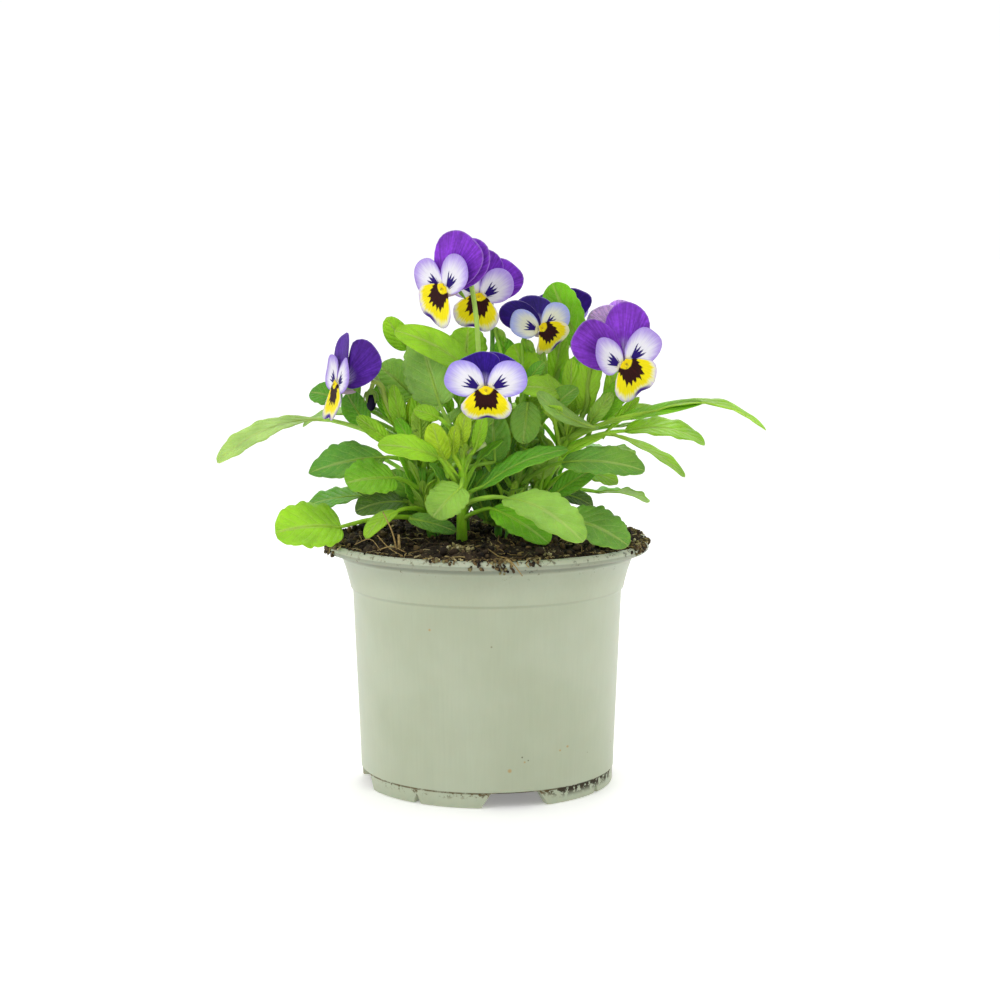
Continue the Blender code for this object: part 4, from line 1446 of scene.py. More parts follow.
@dataclass(frozen=True)
class Peat:
    """The soil: a plug in the pot, a rough heap on top, crumbs, fibres and straws.

    A cluster of pale crumbs is its place across and in depth, their number and their spread.
    A clump on the lip is its angle and spread in degrees, its number of fibres, and how far
    it hangs down. A straw is its path and its radius.
    """

    top: float = 91.6
    lip_top: float = 90.35
    lip_side: float = 60.1
    heap_edge: float = 58.2
    heap_rings: int = 36
    crumbs: int = 1500
    rim_crumbs: int = 420
    fibres: int = 210
    chips: int = 60
    rim_hairs: int = 330
    darks: tuple[str, ...] = ("18120b", "251c12", "35291a", "1f180e", "4a3c26", "6a5836")
    pales: tuple[str, ...] = ("a8a070", "8d8654", "b9b48a", "77704a")
    tans: tuple[str, ...] = ("a3905c", "8a7746", "c3b583", "6d5c34", "54442a", "3f3220")
    plug: tuple[tuple[float, float], ...] = (
        (0.0, 6.8), (30.0, 6.8), (45.6, 6.8), (48.7, 72.0), (50.9, 79.4), (52.6, 84.2), (53.6, 88.0),
        (55.2, 90.4), (57.6, 90.7),
    )
    clusters: tuple[tuple[float, float, int, float], ...] = (
        (-9.0, -44.0, 34, 2.4), (-33.0, -38.0, 10, 1.6), (21.0, -50.0, 9, 1.5),
        (52.0, -18.0, 8, 1.5), (10.0, 48.0, 16, 2.2),
    )
    clumps: tuple[tuple[float, float, int, float], ...] = (
        (-101.5, 2.0, 5, 1.5), (-93.0, 2.5, 9, 3.0), (-84.0, 3.6, 26, 4.5), (-74.0, 1.6, 9, 2.5),
        (-107.0, 2.2, 8, 0.5), (-166.0, 5.5, 60, 4.0), (-156.0, 2.5, 10, 1.0), (-22.0, 5.0, 30, 2.5),
        (-8.0, 3.0, 10, 1.0), (20.0, 5.0, 12, 2.0), (75.0, 6.0, 14, 3.0), (140.0, 6.0, 14, 2.0),
    )
    straws: tuple[tuple[tuple[Point, ...], float], ...] = (
        (((-31.5, -42, 92.0), (-33.2, -41.5, 98.5), (-36.4, -41, 105.4)), 0.32),
        (((-30.6, -42.5, 92.5), (-30.8, -42.0, 97.4)), 0.6),
        (((4.0, -55.0, 91.6), (8.0, -59.5, 91.0), (12.5, -60.0, 85.5)), 0.25),
        (((-38.0, -46.0, 92.4), (-33.0, -49.0, 94.2), (-28.0, -52.0, 92.6)), 0.18),
        (((-38.5, -38.0, 96.5), (-34.0, -45.0, 93.0), (-29.0, -51.5, 91.2)), 0.17),
        (((-47.0, -33.0, 92.5), (-41.0, -40.0, 95.5), (-37.0, -45.0, 92.2)), 0.16),
    )

    def height(self, x: float, y: float) -> float:
        """The heap's height.

        Args:
            x: the place across.
            y: the place in depth.

        Returns:
            The height there.
        """
        r = math.hypot(x, y)
        rough = 2.4 * noise.noise(Vector((x, y, 3.0)) / 9) + 1.7 * noise.noise(Vector((x, y, 9.0)) / 3.2)
        fall = 1.3 * max(0.0, (r - 50) / 7) ** 2
        return self.top + rough * (1 if r < 54 else 0.5) - fall

    def on_heap(self, at: Vector, above: float) -> Vector:
        """Raise a level place to a height above the heap."""
        at.z = self.height(at.x, at.y) + above
        return at

    def build(self, soil: bpy.types.Material, bits: bpy.types.Material, rng: random.Random) -> None:
        """Make the heap and what lies on it.

        Args:
            soil: the heap's material.
            bits: the material of what lies on it.
            rng: the source of chance.
        """
        rings = [self.heap_edge * (1 - k / self.heap_rings) for k in range(self.heap_rings + 1)]
        bm = turned([*self.plug, *((r, self.top) for r in rings)], 120, False, 0.01)
        for vert in bm.verts:
            x, y, z = vert.co
            if z > self.top - 0.3:
                vert.co.z = self.height(x, y)
            if z > 90 and math.hypot(x, y) > 55:
                grow = 1 + 0.03 * noise.noise(Vector((x, y, 0)) / 4) - 0.008
                vert.co.x, vert.co.y = x * grow, y * grow
        bmesh.ops.recalc_face_normals(bm, faces=bm.faces)
        dress(bm, "soil_heap", soil, "soil", "soil")
        self.strew_crumbs(bits, rng)
        self.strew_straw(bits, rng)

    def strew_crumbs(self, bits: bpy.types.Material, rng: random.Random) -> None:
        """Strew crumbs over the heap and the lip, with a few pale clusters.

        Args:
            bits: the crumbs' material.
            rng: the source of chance.
        """
        darks, pales = ([linear(code) for code in codes] for codes in (self.darks, self.pales))
        stock = Stock()
        for k in range(self.crumbs + self.rim_crumbs):
            r, a = 57.5 * math.sqrt(rng.random()), rng.uniform(0, FULL_TURN)
            size = rng.choice((0.5, 0.7, 0.9, 1.2, 1.6)) * rng.uniform(0.8, 1.2)
            if k >= self.crumbs:
                r, size = rng.triangular(55.5, 59.8, 57.0), rng.uniform(0.2, 0.65)
            at = heading(a, r)
            at.z = (self.lip_top if r > 57.5 else self.height(at.x, at.y)) + 0.3 * size
            crumb = lump(at, Vector((size, size * rng.uniform(0.5, 1), size * 0.7)), rng)
            stock.take(crumb, rng.choice(darks))
        for x, y, count, spread in self.clusters:
            for _ in range(count):
                at = Vector((rng.gauss(x, spread), rng.gauss(y, spread * 0.7), 0))
                at = self.on_heap(at, rng.uniform(0.4, 1.5))
                crumb = lump(at, Vector((1, 0.8, 0.7)) * rng.uniform(0.4, 1.0), rng)
                stock.take(crumb, rng.choice(pales))
        for angle, spread, count, fall in self.clumps:
            for _ in range(count * 2):
                a = math.radians(rng.gauss(angle, spread * 0.6))
                drop = max(0.0, rng.uniform(-0.5, 1.0)) * fall
                r = rng.uniform(57.5, 60.2) if drop == 0 else self.lip_side
                size = rng.uniform(0.3, 0.85)
                at = heading(a, r) + rise(90.5 - drop + 0.2 * size)
                crumb = lump(at, Vector((size, size, size * 0.8)), rng)
                stock.take(crumb, rng.choice(darks[2:] + pales[3:]))
        stock.finish("soil_crumbs", bits, "soil")

    def strew_straw(self, bits: bpy.types.Material, rng: random.Random) -> None:
        """Lay fibres, chips and straws on the heap, and tangles over the lip.

        Args:
            bits: their material.
            rng: the source of chance.
        """
        tans = [linear(code) for code in self.tans]
        stock = Stock()
        for _ in range(self.fibres):
            r, a = 56.5 * math.sqrt(rng.random()), rng.uniform(0, FULL_TURN)
            self.fibre(stock, heading(a, r), rng.uniform(3, 10), rng.choice(tans), rng)
        for _ in range(self.chips):
            r, a, turn = 56 * math.sqrt(rng.random()), rng.uniform(0, 7), rng.uniform(0, 7)
            at = self.on_heap(heading(a, r), 0.7)
            half = (heading(turn) + rise(rng.uniform(-0.4, 0.4))) * rng.uniform(0.7, 2.2)
            chip = tube([at - half, at + half], [rng.uniform(0.2, 0.45)] * 2, 4)
            stock.take(chip, rng.choice(tans[:3]))
        for _ in range(self.rim_hairs):
            r, a, turn = rng.triangular(55.5, 59.7, 57.5), rng.uniform(0, FULL_TURN), rng.uniform(0, 7)
            at = heading(a, r) + rise(90.75 + rng.uniform(0, 0.5))
            half = (heading(turn) + rise(rng.uniform(-0.15, 0.3))) * rng.uniform(0.4, 1.3)
            if (at + half).xy.length < 60.4 and (at - half).xy.length < 60.4:
                bow = at + rise(rng.uniform(0.1, 0.4))
                hair = tube([at - half, bow, at + half], [rng.uniform(0.06, 0.13)] * 3, 3)
                stock.take(hair, rng.choice(tans[:4]))
        for angle, spread, count, fall in self.clumps:
            for _ in range(count):
                a = math.radians(rng.gauss(angle, spread * 0.7))
                self.tangle(stock, a, fall, rng.choice(tans), rng)
        for points, radius in self.straws:
            path = smooth_path([Vector(p) for p in points], 4)
            radii = [radius * (1 - 0.4 * i / len(path)) for i in range(len(path))]
            stock.take(tube(path, radii, 6), Tint.STRAW.rgb())
        stock.finish("soil_fibres", bits, "soil")

    def fibre(self, stock: Stock, here: Vector, length: float, tint: Colour, rng: random.Random) -> None:
        """Lay one curved fibre on the heap.

        Args:
            stock: the shapes that it joins.
            here: the level place of its end.
            length: its length.
            tint: its colour.
            rng: the source of chance.
        """
        head, path = rng.uniform(0, FULL_TURN), []
        for _ in range(5):
            if here.xy.length > 58:
                break
            path.append(Vector((here.x, here.y, self.height(here.x, here.y) + 0.35 + rng.uniform(0, 0.8))))
            here += heading(head) * length / 4
            head += rng.uniform(-0.7, 0.7)
        if len(path) > 2:
            radius = rng.uniform(0.1, 0.24)
            stock.take(tube(path, [radius] * len(path), 4), tint)

    def tangle(self, stock: Stock, a: float, fall: float, tint: Colour, rng: random.Random) -> None:
        """Hook one short curled fibre over the lip.

        Args:
            stock: the shapes that it joins.
            a: its angle around the pot.
            fall: how far it hangs down.
            tint: its colour.
            rng: the source of chance.
        """
        path, r, z = [], rng.uniform(56.5, 59.0), 90.9
        for _ in range(5):
            path.append(heading(a, r) + rise(z))
            a += rng.uniform(-1, 1) * 1.3 / r
            r = min(r + rng.uniform(0.2, 1.1), 60.35)
            z -= rng.uniform(-0.1, 0.5) * fall * (r > 59.6)
            z = max(z, 83.0) if r > 59.6 else 90.7 + rng.uniform(0, 0.5)
        radius = rng.uniform(0.1, 0.26)
        stock.take(tube(smooth_path(path, 2), [radius] * 9, 4), tint)


@dataclass(frozen=True)
class GrowersPot:
    """The pot: thin turned wall with a ledge and a rolled lip, holed floor and split foot."""

    outside: tuple[tuple[float, float], ...] = (
        (46.2, 5.3), (47.05, 5.35), (47.2, 5.6), (47.25, 6.2), (47.4, 12.0), (49.9, 71.9), (50.0, 72.3),
        (50.35, 72.7),
        (50.75, 73.0), (50.85, 73.5), (51.3, 75.6), (52.3, 79.4), (53.9, 84.2), (54.45, 84.5), (54.7, 84.9),
        (54.9, 85.6), (55.5, 87.1), (57.0, 87.5), (58.6, 87.1), (59.5, 86.95), (59.9, 87.3), (60.0, 88.0),
        (60.0, 89.2), (59.75, 89.95), (59.2, 90.35), (58.5, 90.4), (57.0, 90.2), (56.0, 89.6), (54.9, 88.3),
    )
    wall: float = 0.9
    feet: int = 4
    first_gap: float = -77.2
    gap_top: float = 21.0
    gap_bottom: float = 30.0
    foot_in: float = 43.4
    foot_out: float = 46.9
    foot_height: float = 5.8
    floor_radius: float = 44.8
    holes: int = 6
    hole_ring: float = 33.0
    hole_radius: float = 4.5

    def build(self, material: bpy.types.Material) -> None:
        """Make the pot as one piece.

        Args:
            material: the plastic.
        """
        white = (1, 1, 1)
        inner = [(r - self.wall, z) for r, z in self.outside if 5.8 < z < 85.7 and r < 55]
        profile = [*self.outside, *inner[::-1], (46.1, 6.4), (44.5, 6.4), (44.5, 5.3)]
        wall = turned(profile, 160, True, 0.001)
        bmesh.ops.recalc_face_normals(wall, faces=wall.faces)
        stock = Stock()
        for shape in (wall, self.floor(), *(self.foot(k) for k in range(self.feet))):
            stock.take(shape, white)
        piece = stock.finish("growers_pot", material, "pot_plastic", "pot")
        for face in piece.data.polygons:
            face.use_smooth = face.center.z > 5.35 * MM
        piece.data.set_sharp_from_angle(angle=math.radians(50))

    def floor(self) -> bmesh.types.BMesh:
        """The floor plate with its drain holes.

        Returns:
            The shape.
        """
        holes = [heading(FULL_TURN * (k + 0.5) / self.holes, self.hole_ring) for k in range(self.holes)]
        bm = bmesh.new()
        bmesh.ops.create_circle(bm, segments=96, radius=self.floor_radius)
        for at in holes:
            bmesh.ops.create_circle(bm, segments=20, radius=self.hole_radius, matrix=Matrix.Translation(at))
        bmesh.ops.triangle_fill(bm, edges=bm.edges[:], use_beauty=True)
        for face in bm.faces[:]:
            middle = face.calc_center_median()
            if min((middle - at).length for at in holes) < 4.2 and all(v.co.length < 38 for v in face.verts):
                bm.faces.remove(face)
        made = bmesh.ops.extrude_face_region(bm, geom=bm.faces[:], use_keep_orig=True)["geom"]
        bmesh.ops.translate(bm, vec=(0, 0, 1.1), verts=[g for g in made if isinstance(g, bmesh.types.BMVert)])
        bmesh.ops.translate(bm, vec=(0, 0, 5.32), verts=bm.verts)
        bmesh.ops.recalc_face_normals(bm, faces=bm.faces)
        return bm

    def foot(self, index: int) -> bmesh.types.BMesh:
        """One length of the foot ring, with sloped ends and a small nick in its middle.

        Args:
            index: which foot it is.

        Returns:
            The shape.
        """
        pitch = 360 / self.feet
        start = self.first_gap + pitch * index + self.gap_top / 2
        span = pitch - self.gap_top
        middle = start + span / 2
        bm = bmesh.new()
        corners = ((self.foot_in, 0.0), (self.foot_out - 0.3, 0.0), (self.foot_out, 0.3),
                   (self.foot_out, self.foot_height), (self.foot_in, self.foot_height))
        bm.faces.new([bm.verts.new((r, 0, z)) for r, z in corners])
        bmesh.ops.rotate(bm, cent=(0, 0, 0), matrix=Matrix.Rotation(math.radians(start), 3, "Z"),
                         verts=bm.verts)
        bmesh.ops.spin(bm, geom=bm.faces[:] + bm.edges[:] + bm.verts[:], cent=(0, 0, 0), axis=(0, 0, 1),
                       angle=math.radians(span), steps=32)
        squeeze = 1 - (pitch - self.gap_bottom) / (pitch - self.gap_top)
        for vert in bm.verts:
            a = math.degrees(math.atan2(vert.co.y, vert.co.x))
            off = (a - middle + 180) % 360 - 180
            if vert.co.z < 0.5:
                turn = Matrix.Rotation(math.radians(-off * squeeze), 3, "Z")
                vert.co = turn @ vert.co
                if abs(off) < 1.0:
                    vert.co.z += 3.5
        bmesh.ops.recalc_face_normals(bm, faces=bm.faces)
        return bm


@dataclass(frozen=True)
class Studio:
    """Camera, lights and floor, as the picture was taken.

    A lamp is its place and size in millimetres, and its watts. The room is a pale world
    that is dimmer on the camera's side.
    """

    eye: Point = (4.767, -760.0, 197.43)
    pitch: float = 0.1217
    lens: float = 74.33
    sensor: float = 36.0
    room: tuple[float, float, float, float] = (-0.9, 0.3, 0.57, 1.02)
    aim: float = 100.0
    floor_reach: float = 30.0
    floor_drop: float = 0.2
    lamps: tuple[tuple[Point, float, float], ...] = (
        ((-420.0, -520.0, 640.0), 420.0, 1.35),
        ((520.0, -420.0, 420.0), 420.0, 0.3),
        ((60.0, 560.0, 560.0), 520.0, 1.6),
    )

    def build(self, material: bpy.types.Material) -> None:
        """Set up the camera, the lights, the pale room and the floor.

        Args:
            material: the floor's finish.
        """
        self.set_camera()
        self.hang_lamps()
        self.light_room()
        self.lay_floor(material)

    def set_camera(self) -> None:
        """Stand the camera where the photograph was taken from."""
        camera = bpy.data.objects.new("camera", bpy.data.cameras.new("camera"))
        camera.data.lens, camera.data.sensor_width = self.lens, self.sensor
        camera.data.clip_start, camera.data.clip_end = 0.01, 100.0
        camera.location = Vector(self.eye) * MM
        camera.rotation_euler = (math.pi / 2 - self.pitch, 0, 0)
        bpy.context.scene.collection.objects.link(camera)
        bpy.context.scene.camera = camera

    def hang_lamps(self) -> None:
        """Hang the soft lamps, turned towards the plant."""
        for i, (at, size, watts) in enumerate(self.lamps):
            light = bpy.data.lights.new(f"softbox_{i}", "AREA")
            light.shape, light.size, light.energy = "DISK", size * MM, watts
            lamp = bpy.data.objects.new(light.name, light)
            lamp.location = Vector(at) * MM
            way = rise(self.aim * MM) - lamp.location
            lamp.rotation_euler = way.to_track_quat("-Z", "Y").to_euler()
            bpy.context.scene.collection.objects.link(lamp)

    def light_room(self) -> None:
        """Light the room from all around, less from the camera's side."""
        world = bpy.data.worlds.new("pale_room")
        world.use_nodes = True
        tree = world.node_tree
        way = tree.nodes.new("ShaderNodeTexCoord").outputs["Generated"]
        split = tree.nodes.new("ShaderNodeSeparateXYZ")
        dim = tree.nodes.new("ShaderNodeMapRange")
        tree.links.new(way, split.inputs[0])
        tree.links.new(split.outputs["Y"], dim.inputs[0])
        for i, value in enumerate(self.room, 1):
            dim.inputs[i].default_value = value
        background = tree.nodes["Background"]
        tree.links.new(dim.outputs[0], background.inputs["Strength"])
        background.inputs["Color"].default_value = (1.0, 1.0, 1.0, 1.0)
        bpy.context.scene.world = world
        bpy.context.scene.view_settings.view_transform = "Standard"

    def lay_floor(self, material: bpy.types.Material) -> None:
        """Lay a floor that reaches past the camera's sight.

        Args:
            material: its finish.
        """
        bm = bmesh.new()
        bmesh.ops.create_grid(bm, x_segments=8, y_segments=8, size=self.floor_reach)
        mesh = bpy.data.meshes.new("floor")
        bm.to_mesh(mesh)
        bm.free()
        mesh.materials.append(material)
        floor = bpy.data.objects.new("floor", mesh)
        floor.location.z = -self.floor_drop * MM
        bpy.context.scene.collection.objects.link(floor)


STALK_GREENS = {"bloom_1": "a8cb5c", "bloom_2": "5f9a2e", "bloom_8": "a5bd70", "bloom_7": "a4d03a"}

BLOOMS = {
    "bloom_1": Bloom((-15, -22, 182), (-7, -7, -0.5), (4, -4, 10), 1.0, (84, 95), (84, 184), -98,
                     (20, 12), (-6, 0), 8, wide=(17, 23)),
    "bloom_2": Bloom((-3, -3, 179), (-1, -10, -1), (3.6, 0, 10), 0.92, (60, 103), (58, 150), -83,
                     (32, 24), (-22, -4), 18, 18.5, palette=PLUM),
    "bloom_3": Bloom((20, 4, 167), (3.5, -8, 1.5), (-4, -1, 10), 0.8, (64, 114), (14, 136), -66,
                     (38, 30), (-4, -4), 44, 19.5, palette=CREAM),
    "bloom_4": Bloom((50, -14, 155), (4, -9, -1), (-5, -2, 10), 1.0, (51, 118), (16, 125), -82,
                     (18, 10), (-4, -38), 12, 21.5),
    "bloom_5": Bloom((50, 40, 164.5), (1, 8, 4), size=0.8, tops=(76, 104), sides=(38, 142), palette=PALE),
    "bloom_6": Bloom((27.5, 43, 168), (-1, 9, 3), size=0.8, sides=(44, 136), palette=INDIGO),
    "bloom_7": Bloom((0, -46, 148), (-0.5, -9, -2), size=0.95, tops=(70, 110), lean_tops=(49, 42),
                     lean_lip=34, top=13.8, palette=INDIGO),
    "bloom_8": Bloom((-54, -10, 147), (-9.2, -3.6, 1), (0.5, 0, 10), 0.95, (50, 112), (32, 148), -90,
                     (40, 5), (-3, -3), -12, fold_right=(0, 1), palette=DUSK),
}

G = Green


def slip(height: float, base: Point, tip: Point, facing: Point, width: float, green: Green,
         form: Form = Form.OVAL) -> Leaf:
    """A small, nearly flat leaf without teeth."""
    return Leaf(height, base, tip, facing, width, 1, form, 0, green)


SHOOTS = {
    "stem_front": Shoot(
        ((-9, -20, 92), (-9, -22, 105), (-8, -24, 131)), 2.1,
        (
            Leaf(115, (-9, -31, 113), (-19, -38, 103), (-2, -10, 5), 14, 1, Form.ROUND, 6, G.APPLE),
            Leaf(108, (-17, -33, 124), (-38, -42, 129), (-2, -8, 6), 10, 2, teeth=5, green=G.LIME),
            slip(112, (-15, -27, 122), (-19, -33, 136), (-3, -10, 0), 9, G.YELLOW),
            slip(125, (-9, -28, 128), (-7, -30, 140), (-5, -10, 2), 7, G.YELLOW),
            slip(117, (-12, -27, 124), (-11, -31, 135), (-2, -10, 1), 5, G.YELLOW),
            slip(119, (-4, -27, 126), (-1, -29, 139), (1, -10, 1), 5, G.LIME),
            Leaf(105, (7, -39, 110), (33, -64, 98), (2, -7, 9), 18, 4, teeth=8, green=G.APPLE),
            Leaf(100, (2, -28, 105), (22, -40, 94), (0, -5, 9), 15, 1.5, teeth=8, green=G.BRIGHT),
            Leaf(108, (-2, -25, 112), (29, -27, 126), (-2, -5, 9), 11, 3, teeth=9, green=G.MID),
            Leaf(121, (-17, -16, 141), (-24, -9, 165), (-1, -10, 2), 19, 1, Form.ROUND, 8, G.GREY),
            slip(127, (-17, -24, 137), (-26, -25, 140), (0, -10, 5), 6, G.LIME),
            slip(118, (3, -16, 120), (2, -19, 139), (0, -10, 1), 12, G.DARK),
        ),
        (
            ("bloom_1", ((-3, -21, 143), (-3, -20, 161), (-4, -21, 175), (-6.5, -19, 188))),
            ("bloom_7", ((-2, -26, 140), (-1, -31, 150), (0, -37, 155))),
        ),
        G.LIME, 10, 7, stubs=(((-6.5, -24.5, 124.5), (-0.5, -27.0, 128.0)),),
    ),
    "stem_low_left": Shoot(
        ((-20, -12, 92), (-22, -13, 100), (-24, -13, 111)), 1.6,
        (
            Leaf(99, (-52, -27, 98), (-75, -34, 97), (-1, -8, 8), 21, 2, Form.ROUND, 6, G.LIME),
            Leaf(102, (-32, -29, 104), (-43, -35, 95), (-5, -7, 7), 8, 2, teeth=0, green=G.LIME),
            Leaf(104, (-29, -10, 105), (-48, -14, 102), (0, -6, 9), 14, teeth=6, green=G.DEEP),
            Leaf(106, (-47, 2, 106), (-67, 4, 102), (0, -4, 10), 14, 1, teeth=7, green=G.MID),
            Leaf(98, (-28, -26, 101), (-11, -28, 96.5), (0, -8, 6), 7, 1.5, teeth=4, green=G.DARK),
            Leaf(99, (-23, -2, 99), (-38, 0, 109), (-1, -10, 3), 12, 1, teeth=5, green=G.DEEP),
            Leaf(101, (-33, -8, 106), (-50, -8, 112), (0, -9, 5), 8, 1, teeth=4, green=G.DEEP),
            slip(104, (-27, -9, 107), (-35, -12, 117), (-3, -10, 3), 8, G.DARK),
            Leaf(109, (-33, -24, 115.5), (-50, -32, 114.5), (-1, -8, 8), 17, 1, Form.ROUND, 7, G.BRIGHT),
        ),
        (), G.MID, 6, 6,
    ),
    "stem_left": Shoot(
        ((-17, -3, 92), (-21, -5, 108), (-30, -6, 131)), 1.6,
        (
            Leaf(121, (-61, -3, 135), (-98, -14, 120), (1, -4, 10), 13, 5, Form.LONG, 8, G.PALE),
            Leaf(117, (-37, -15, 122), (-64, -23, 117), (0, -7, 8), 17, 2, Form.SHARP, 7, G.DARK),
            Leaf(130, (-54, 6, 141), (-66, 8, 144), (0, -8, 8), 11, 1, teeth=5, green=G.MID),
            slip(125, (-44, -2, 132), (-52, 4, 144), (-5, -10, 3), 10, G.MID),
            slip(130, (-49, 8, 141), (-50, 9, 153), (-3, -10, 2), 6, G.GREY),
            slip(120, (-35, -14, 127), (-47, -17, 137), (-4, -8, 6), 6, G.LIME),
            slip(126, (-31, -8, 131), (-34, -11, 148), (-2, -10, 2), 6, G.LIME),
            slip(124, (-26, -8, 128), (-25, -10, 147), (1, -10, 2), 6, G.LIME),
            slip(128, (-34, -2, 133), (-41, -1, 147), (-2, -10, 3), 5, G.BRIGHT),
            slip(118, (-24, -10, 122), (-33, -12, 136), (-3, -9, 3), 6, G.BRIGHT),
            slip(112, (-27, -6, 122), (-28, -8, 143), (0, -10, 1), 4, G.YELLOW, Form.NARROW),
            slip(116, (-31, -6, 126), (-38, -6, 146), (-1, -10, 2), 4, G.LIME, Form.NARROW),
            slip(110, (-24, -8, 116), (-20, -12, 133), (1, -10, 2), 4, G.LIME, Form.NARROW),
        ),
        (
            ("bloom_8", ((-34, -6, 137), (-38, -4, 144), (-42, -2, 153), (-45, -3, 155))),
            ("dark_bud", ((-36, -9, 140), (-38, -10, 147), (-41, -9, 149))),
        ),
        G.MID, 8, 9,
    ),
    "stem_back_left": Shoot(
        ((-8, 6, 92), (-9, 5, 115), (-10, 4, 143)), 1.6,
        (
            Leaf(127, (-27, 4, 143), (-40, 5, 154), (-2, -10, 4), 15, 1, Form.ROUND, 6, G.GREY),
            Leaf(140, (-29, 7, 160), (-37, 3, 172), (-3, -9, 3), 9, 2, teeth=0, green=G.LIME),
            Leaf(138, (-6, -14, 153), (-33, -19, 168), (0, -9, 7), 12, 4, teeth=0, green=G.LIME),
            Leaf(141, (-8, 6, 151), (-7, 10, 168), (-2, -10, 1), 16, 1, Form.ROUND, 6, G.LIME),
        ),
        (
            ("bloom_2", ((-5, 2, 146), (1, 1, 152), (2, 3, 169), (1, 5, 180))),
        ),
        G.BRIGHT, 8, 10,
    ),
    "stem_middle": Shoot(
        ((4, -2, 92), (6, -3, 115), (12, -5, 135)), 1.5,
        (
            slip(130, (15, -12, 142), (13, -18, 127), (0, -10, 3), 11, G.MOSS),
            Leaf(131, (29, -7, 144), (12, -10, 147), (0, -7, 7), 11, 2, teeth=5, green=G.LIME),
            slip(128, (23, -12, 138), (33, -10, 147), (-6, -6, 4), 10, G.MID),
            slip(132.5, (15, -3, 148), (21, -5, 156), (-5, -8, 3), 6, G.MID),
            slip(97, (0, -8, 98), (-5, -13, 113), (-2, -10, 2), 7, G.DARK),
            slip(96, (6, -9, 98), (9, -15, 111), (1, -10, 2), 6, G.DEEP),
            Leaf(100, (2, -5, 103), (1, -7, 121), (0, -10, 1), 9, 1, teeth=5, green=G.DEEP),
            Leaf(98, (11, -8, 99), (19, -14, 107), (0, -8, 7), 8, 1, teeth=4, green=G.DARK),
            Leaf(102, (-3, 2, 104), (-12, 2, 114), (-2, -9, 4), 9, 1, teeth=4, green=G.DEEP),
            slip(96, (8, -12, 96), (17, -24, 101), (-2, -8, 6), 7, G.DEEP),
            slip(97, (2, -12, 97), (5, -23, 104), (2, -9, 4), 6, G.DARK),
        ),
        (), G.MID, 12, 9,
        buds=(((9, -4, 138), (6, -2, 155), (3, 1, 167), (4, 2, 167.5)),
              ((12, -4, 137), (13, 0, 152), (13, 3, 163), (14.5, 3, 163.5))),
    ),
    "stem_low_right": Shoot(
        ((8, -13, 92), (9, -12, 102), (12, -11, 112)), 1.6,
        (
            Leaf(101, (26, -26, 101), (50, -39, 93), (2, -7, 8), 18, 3, teeth=8, green=G.MOSS),
            slip(105, (24, -14, 108), (40, -14, 118), (-4, -7, 4), 9, G.MID),
            Leaf(111, (27, -24, 121), (56, -34, 119), (0, -6, 8), 15, 2.5, teeth=9, green=G.DARK),
        ),
        (), G.MID, 7, 7,
    ),
    "stem_right": Shoot(
        ((15, -5, 92), (20, -6, 108), (30, -9, 129)), 1.6,
        (
            Leaf(102, (27, -8, 108), (39, -8, 103), (0, -5, 9), 9, 1, teeth=4, green=G.DEEP),
            Leaf(108, (32, -8, 117), (48, -10, 112), (0, -4, 9), 12, 1, teeth=6, green=G.LIME),
            Leaf(122, (45, -18, 131), (71, -26, 116), (2, -2, 8), 9, 2, Form.LONG, 5, G.LIME),
            Leaf(127, (59, -14, 138), (101, -16, 132), (0, -1.5, 10), 10, 7, Form.LONG, 6, G.LIME),
            slip(127.5, (52, -13, 136), (78, -16, 142), (0, -6, 9), 7, G.BRIGHT),
            Leaf(124, (51, 2, 130), (81, 4, 125), (0, -4, 9), 14, 4, teeth=7, green=G.LIME),
            slip(128, (42, 6, 134), (63, 10, 138), (0, -4, 8), 8, G.LIME),
            Leaf(128, (40, -20, 133), (18, -22, 146), (0, -7, 8), 8, -3, Form.LONG, 0, G.GREY),
            Leaf(126, (35, -2, 136), (40, 0, 161), (-2, -10, 1), 9, 1.5, teeth=5, green=G.LIME),
            Leaf(127, (41, -4, 135), (53, -7, 150), (-3, -9, 3), 9, 1.5, teeth=5, green=G.BRIGHT),
            Leaf(124, (30, -1, 136), (31, 1, 157), (2, -10, 1), 7, 1.5, teeth=0, green=G.LIME),
            slip(127, (44, 0, 136), (47, 1, 156), (3, -10, 2), 6, G.LIME),
            slip(125, (37, -6, 133), (46, -9, 145), (-1, -10, 3), 6, G.APPLE),
            Leaf(126, (48, -8, 135), (64, -12, 139), (0, -6, 8), 5, 1.0, teeth=4, green=G.BRIGHT),
            slip(113, (30, 0, 127), (35, 2, 150), (0, -10, 1), 4, G.YELLOW, Form.NARROW),
            slip(115, (37, -2, 128), (46, -1, 147), (-1, -10, 2), 4, G.LIME, Form.NARROW),
            slip(118, (42, -4, 128), (56, -3, 143), (-1, -10, 3), 4, G.LIME, Form.NARROW),
            slip(110, (26, -3, 120), (28, -3, 142), (0, -10, 1), 4, G.BRIGHT, Form.NARROW),
        ),
        (
            ("bloom_4", ((36, -4, 138), (37, -2, 147), (39, -2, 157), (43, -5, 162))),
        ),
        G.LIME, 12, 8,
    ),
    "stem_back_right": Shoot(
        ((10, 9, 92), (13, 10, 115), (18, 10, 139)), 1.5,
        (
            Leaf(132, (38, 24, 155), (24.5, 27, 184), (-5, -10, 2), 15, 1, Form.LONG, 8, G.BRIGHT),
            Leaf(137, (16, 4, 147), (10, 4, 162), (-2, -10, 3), 13, 1, teeth=5, green=G.LIME),
            slip(136, (10, 10, 151), (5, 12, 164), (-2, -10, 2), 9, G.MID),
            Leaf(134, (24, 14, 143), (28, 16, 166), (1, -10, 1), 8, 1.5, teeth=4, green=G.LIME),
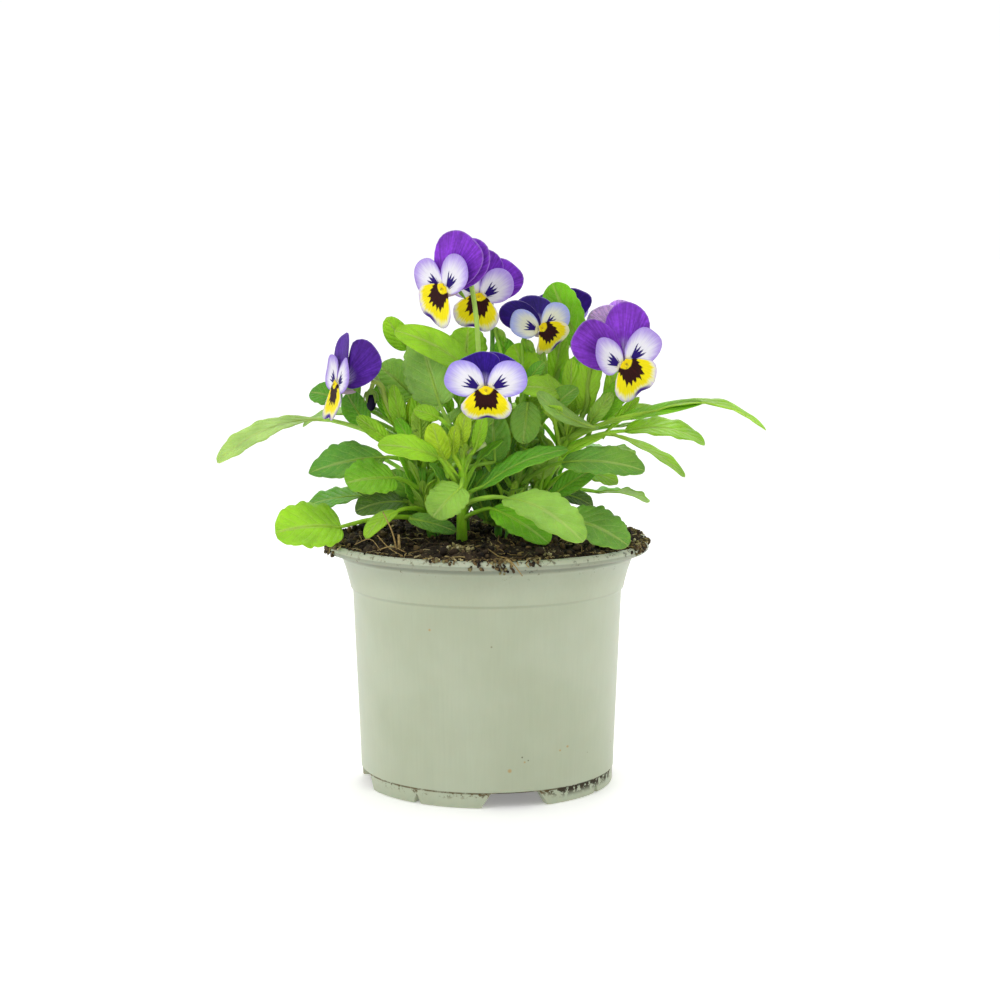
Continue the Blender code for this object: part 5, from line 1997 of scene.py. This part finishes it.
            Leaf(132, (27, 12, 140), (36, 13, 158), (-2, -10, 2), 8, 1.5, teeth=5, green=G.BRIGHT),
            slip(133, (19, 8, 143), (20, 7, 160), (-1, -10, 1), 6, G.APPLE),
        ),
        (
            ("bloom_3", ((25, 13, 146), (27, 15, 156), (24, 15, 165), (22, 13, 169))),
        ),
        G.BRIGHT, 12, 11,
    ),
    "stem_rear_right": Shoot(
        ((22, 22, 92), (26, 26, 115), (33, 32, 138)), 1.6,
        (
            Leaf(112, (40, 40, 120), (56, 56, 112), (3, 3, 9), 17, 3, green=G.MID),
            Leaf(124, (50, 24, 130), (74, 22, 126), (2, 0, 9), 16, 3, green=G.BRIGHT),
            Leaf(104, (42, 30, 104), (62, 38, 99), (3, 2, 9), 17, 2, Form.ROUND, green=G.BRIGHT),
            Leaf(130, (30, 44, 138), (26, 62, 134), (0, 4, 9), 14, 3, green=G.LIME),
        ),
        (
            ("bloom_5", ((39, 30, 147), (43, 29, 155), (47, 30, 160))),
            ("bloom_6", ((31, 34, 150), (29, 34, 162), (28, 36, 169))),
        ),
        G.BRIGHT, 8, 12,
    ),
    "stem_rear_middle": Shoot(
        ((0, 27, 92), (-2, 31, 112), (-3, 34, 130)), 1.6,
        (
            Leaf(108, (-5, 46, 116), (-10, 66, 108), (0, 4, 9), 17, 3, green=G.MID),
            Leaf(102, (12, 44, 104), (20, 62, 99), (2, 4, 9), 18, 2, Form.ROUND, green=G.MOSS),
            Leaf(120, (8, 42, 130), (14, 60, 124), (1, 5, 9), 14, 3, green=G.BRIGHT),
            Leaf(128, (-11, 38, 140), (-17, 52, 146), (-2, 6, 8), 13, 2, green=G.LIME),
            Leaf(126, (0, 28, 138), (4, 24, 152), (1, -8, 3), 12, 1, green=G.MID),
        ),
        (), G.MID, 8, 12,
    ),
    "stem_rear_left": Shoot(
        ((-21, 18, 92), (-27, 24, 110), (-32, 28, 128)), 1.6,
        (
            Leaf(108, (-46, 38, 118), (-66, 48, 108), (-2, 3, 9), 17, 3, green=G.BRIGHT),
            Leaf(103, (-44, 20, 104), (-66, 24, 99), (-3, 1, 9), 18, 2, Form.ROUND, green=G.DARK),
            Leaf(118, (-32, 44, 126), (-37, 62, 118), (-1, 4, 9), 15, 3, green=G.MID),
            Leaf(125, (-50, 22, 134), (-70, 20, 130), (-2, -1, 9), 13, 3, green=G.APPLE),
        ),
        (), G.MID, 8, 11,
    ),
}


def main() -> None:
    """Dress every part of the potted plant."""
    logging.basicConfig(level=logging.INFO, format="%(message)s")
    rng = random.Random(11)
    Studio().build(FloorFinish().material())
    leaf = LeafFinish().material()
    petals = {layer: PetalFinish(layer).material() for layer in Layer}
    heart = TintedFinish("bloom_heart", 0.5, 900.0, 0.05, 0.15).material()
    bits = TintedFinish("peat_bits", 0.85, 900.0, 0.3).material()
    GrowersPot().build(PotFinish().material())
    Peat().build(PeatFinish().material(), bits, rng)
    for name, shoot in SHOOTS.items():
        shoot.build(name, leaf, rng)
    for name, bloom in BLOOMS.items():
        bloom.build(name, petals, heart, rng)
    DarkBud().build(petals[Layer.UPPER])


if __name__ == "__main__":
    main()
